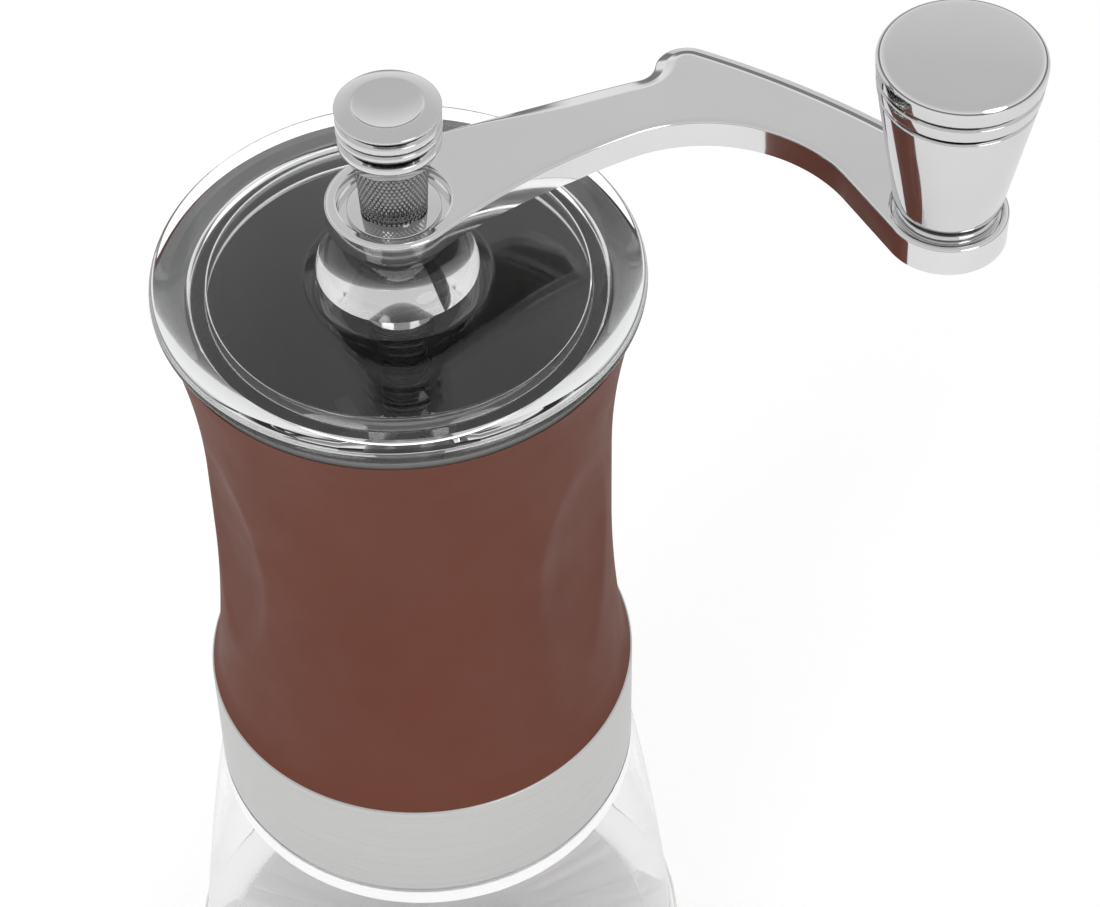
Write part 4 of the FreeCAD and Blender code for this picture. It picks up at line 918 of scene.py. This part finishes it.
RING_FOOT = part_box("knob_washer")[0].z / MM
ring = rounded([(BORE, RING_FOOT), (8.2, RING_FOOT, 0.2), (8.2, RING_FOOT + 1.8, 0.5),
                (BORE, RING_FOOT + 1.8)], 5)
turned_piece("knob_ring", ring, RING, "arm", "knob_washer_metal", "knob_washer", axis=KNOB_AXIS)
SPACER_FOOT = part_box("knob_spacer")[0].z / MM
spacer = rounded([(BORE, SPACER_FOOT), (7.4, SPACER_FOOT, 0.2), (7.4, SPACER_FOOT + 1.0, 0.2),
                  (BORE, SPACER_FOOT + 1.0)], 4)
turned_piece("knob_collar", spacer, BUSH, "arm", "bush_plastic", "knob_spacer", axis=KNOB_AXIS)


# Materials of the CAD nodes that stay

STAY = {
    "jar_gasket": GASKET, "lower_bush": BUSH, "upper_bush": BUSH, "outer_burr": CERAMIC,
    "inner_burr": CERAMIC, "burr_retainer": PLATE, "retainer_screws": SHAFT, "drive_shaft": SHAFT,
    "shaft_clip": SPRING, "dial_clip": SPRING, "thrust_washer": SHAFT, "burr_spring": SPRING,
    "burr_drive_plate": PLATE, "adjuster_dial": DIAL, "knob_pin": SHAFT,
}
for node, material in STAY.items():
    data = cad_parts[node].data
    data.materials.clear()
    data.materials.append(material)


# Floor, world and lamps

# The floor's own light, as the camera and as reflections see it
FLOOR_WHITE = 0.33
FLOOR_IN_METAL = 0.12
FLOOR_REACH = 4000.0

# The world as reflections show it: way up from the horizon (0) to straight up (1), and brightness
WORLD_TONES = ((0.0, 0.2), (0.16, 0.25), (0.24, 0.9), (0.5, 0.74), (0.7, 0.62), (1.0, 0.6))

# The world's plain level of light, and its white behind the object
WORLD_LIGHT = 0.6
WORLD_WHITE = 1.0

# Each lamp: name, place, height on the axis that it aims at, two widths, watts, shown in reflections
LAMPS = (
    ("front_left", (-0.7, -1.1, 0.9), 0.12, 0.8, 0.8, 4.5, False),
    ("front_right", (0.9, -1.0, 0.7), 0.12, 0.7, 0.9, 3.0, True),
    ("overhead", (0.0, 0.1, 1.4), 0.1, 1.0, 1.0, 4.0, False),
)


def make_floor():
    """A plain pale floor that also shows in glass and metal."""
    paint = Paint("floor_pale", (0.8, 0.8, 0.8), roughness=0.9)
    paint.tint(paint.noise(3.0, 2.0), 0.01)
    path = paint.node("ShaderNodeLightPath")
    white = paint.calc("MULTIPLY", paint.seen(path), FLOOR_WHITE)
    strength = paint.calc("MULTIPLY_ADD", path.outputs["Is Glossy Ray"], FLOOR_IN_METAL, white)
    glow = paint.node("ShaderNodeEmission")
    paint.link(strength, glow.inputs["Strength"])
    total = paint.node("ShaderNodeAddShader")
    paint.link(paint.shader.outputs["BSDF"], total.inputs[0])
    paint.link(glow.outputs["Emission"], total.inputs[1])
    paint.surface("Material Output", total.outputs["Shader"])
    floor = Shape()
    floor.turn([(0.0, 0.0), (FLOOR_REACH, 0.0)], closed=False, count=96)
    piece = put("floor", floor.mesh("floor", paint.material))


def make_world():
    """White behind everything, a plain level of light, and a studio's tones for reflections."""
    world = bpy.data.worlds.new("studio")
    bpy.context.scene.world = world
    world.use_nodes = True
    world.node_tree.nodes.clear()
    sky = Nodes(world.node_tree)
    sky.node("ShaderNodeOutputWorld", name="World Output")
    tones = sky.node("ShaderNodeValToRGB")
    sky.link(sky.height(sky.node("ShaderNodeTexCoord").outputs["Generated"]), tones.inputs["Fac"])
    for place, level in WORLD_TONES[1:-1]:
        tones.color_ramp.elements.new(place)
    for stop, (place, level) in zip(tones.color_ramp.elements, WORLD_TONES):
        stop.position = place
        stop.color = (level, level, level, 1.0)
    mirror = sky.node("ShaderNodeBackground")
    sky.link(tones.outputs["Color"], mirror.inputs["Color"])
    plain = sky.node("ShaderNodeBackground")
    plain.inputs["Color"].default_value = (1.0, 1.0, 1.0, 1.0)
    path = sky.node("ShaderNodeLightPath")
    strength = sky.node("ShaderNodeMapRange")
    strength.inputs["To Min"].default_value = WORLD_LIGHT
    strength.inputs["To Max"].default_value = WORLD_WHITE
    sky.link(sky.seen(path), strength.inputs["Value"])
    sky.link(strength.outputs["Result"], plain.inputs["Strength"])
    sky.surface("World Output", sky.blend(path.outputs["Is Glossy Ray"], plain.outputs["Background"],
                                          mirror.outputs["Background"]))


def make_lamp(name, place, aim, wide, tall, watts, glossy):
    """An oval lamp that looks at the shaft's axis."""
    data = bpy.data.lights.new(name, "AREA")
    data.shape = "ELLIPSE"
    data.size = wide
    data.size_y = tall
    data.energy = watts
    lamp = put(name, data)
    lamp.location = place
    way = mathutils.Vector((0.0, 0.0, aim)) - mathutils.Vector(place)
    lamp.rotation_euler = way.to_track_quat("-Z", "Y").to_euler()
    lamp.visible_glossy = glossy


make_floor()
make_world()
for lamp_row in LAMPS:
    make_lamp(*lamp_row)


# Camera: the lid's centre shows at a known place of the picture. FOCAL is in pixels, RANGE in metres,
# and LOOK has the turn, the downward tilt and the roll in degrees.

SENSOR = 36.0
PICTURE = (1100.0, 907.0)
FOCAL = 3286.0
LID_PIXEL = (398.5, 275.4)
RANGE = 0.5306
LOOK = (2.6, 48.28, -0.98)


def make_camera():
    """The camera that was solved from the object's own ellipses."""
    around, down, roll = (math.radians(a) for a in LOOK)
    right = mathutils.Vector((math.cos(around), math.sin(around), 0.0))
    ahead = mathutils.Vector((-math.sin(around), math.cos(around), 0.0))
    up = mathutils.Vector((0.0, 0.0, 1.0))
    sight = ahead * math.cos(down) - up * math.sin(down)
    head = ahead * math.sin(down) + up * math.cos(down)
    side = right * math.cos(roll) + head * math.sin(roll)
    top = head * math.cos(roll) - right * math.sin(roll)
    across = (LID_PIXEL[0] - PICTURE[0] / 2) / FOCAL * RANGE
    above = -(LID_PIXEL[1] - PICTURE[1] / 2) / FOCAL * RANGE
    place = mathutils.Vector((0.0, 0.0, LID_PLANE * MM)) - (side * across + top * above + sight * RANGE)
    data = bpy.data.cameras.new("camera")
    data.sensor_fit = "HORIZONTAL"
    data.sensor_width = SENSOR
    data.lens = SENSOR * FOCAL / PICTURE[0]
    data.clip_start = 0.01
    camera = put("camera", data)
    turn = mathutils.Matrix((side, top, -sight)).transposed()
    camera.matrix_world = mathutils.Matrix.Translation(place) @ turn.to_4x4()
    bpy.context.scene.camera = camera


make_camera()
bpy.context.scene.view_settings.view_transform = "Standard"
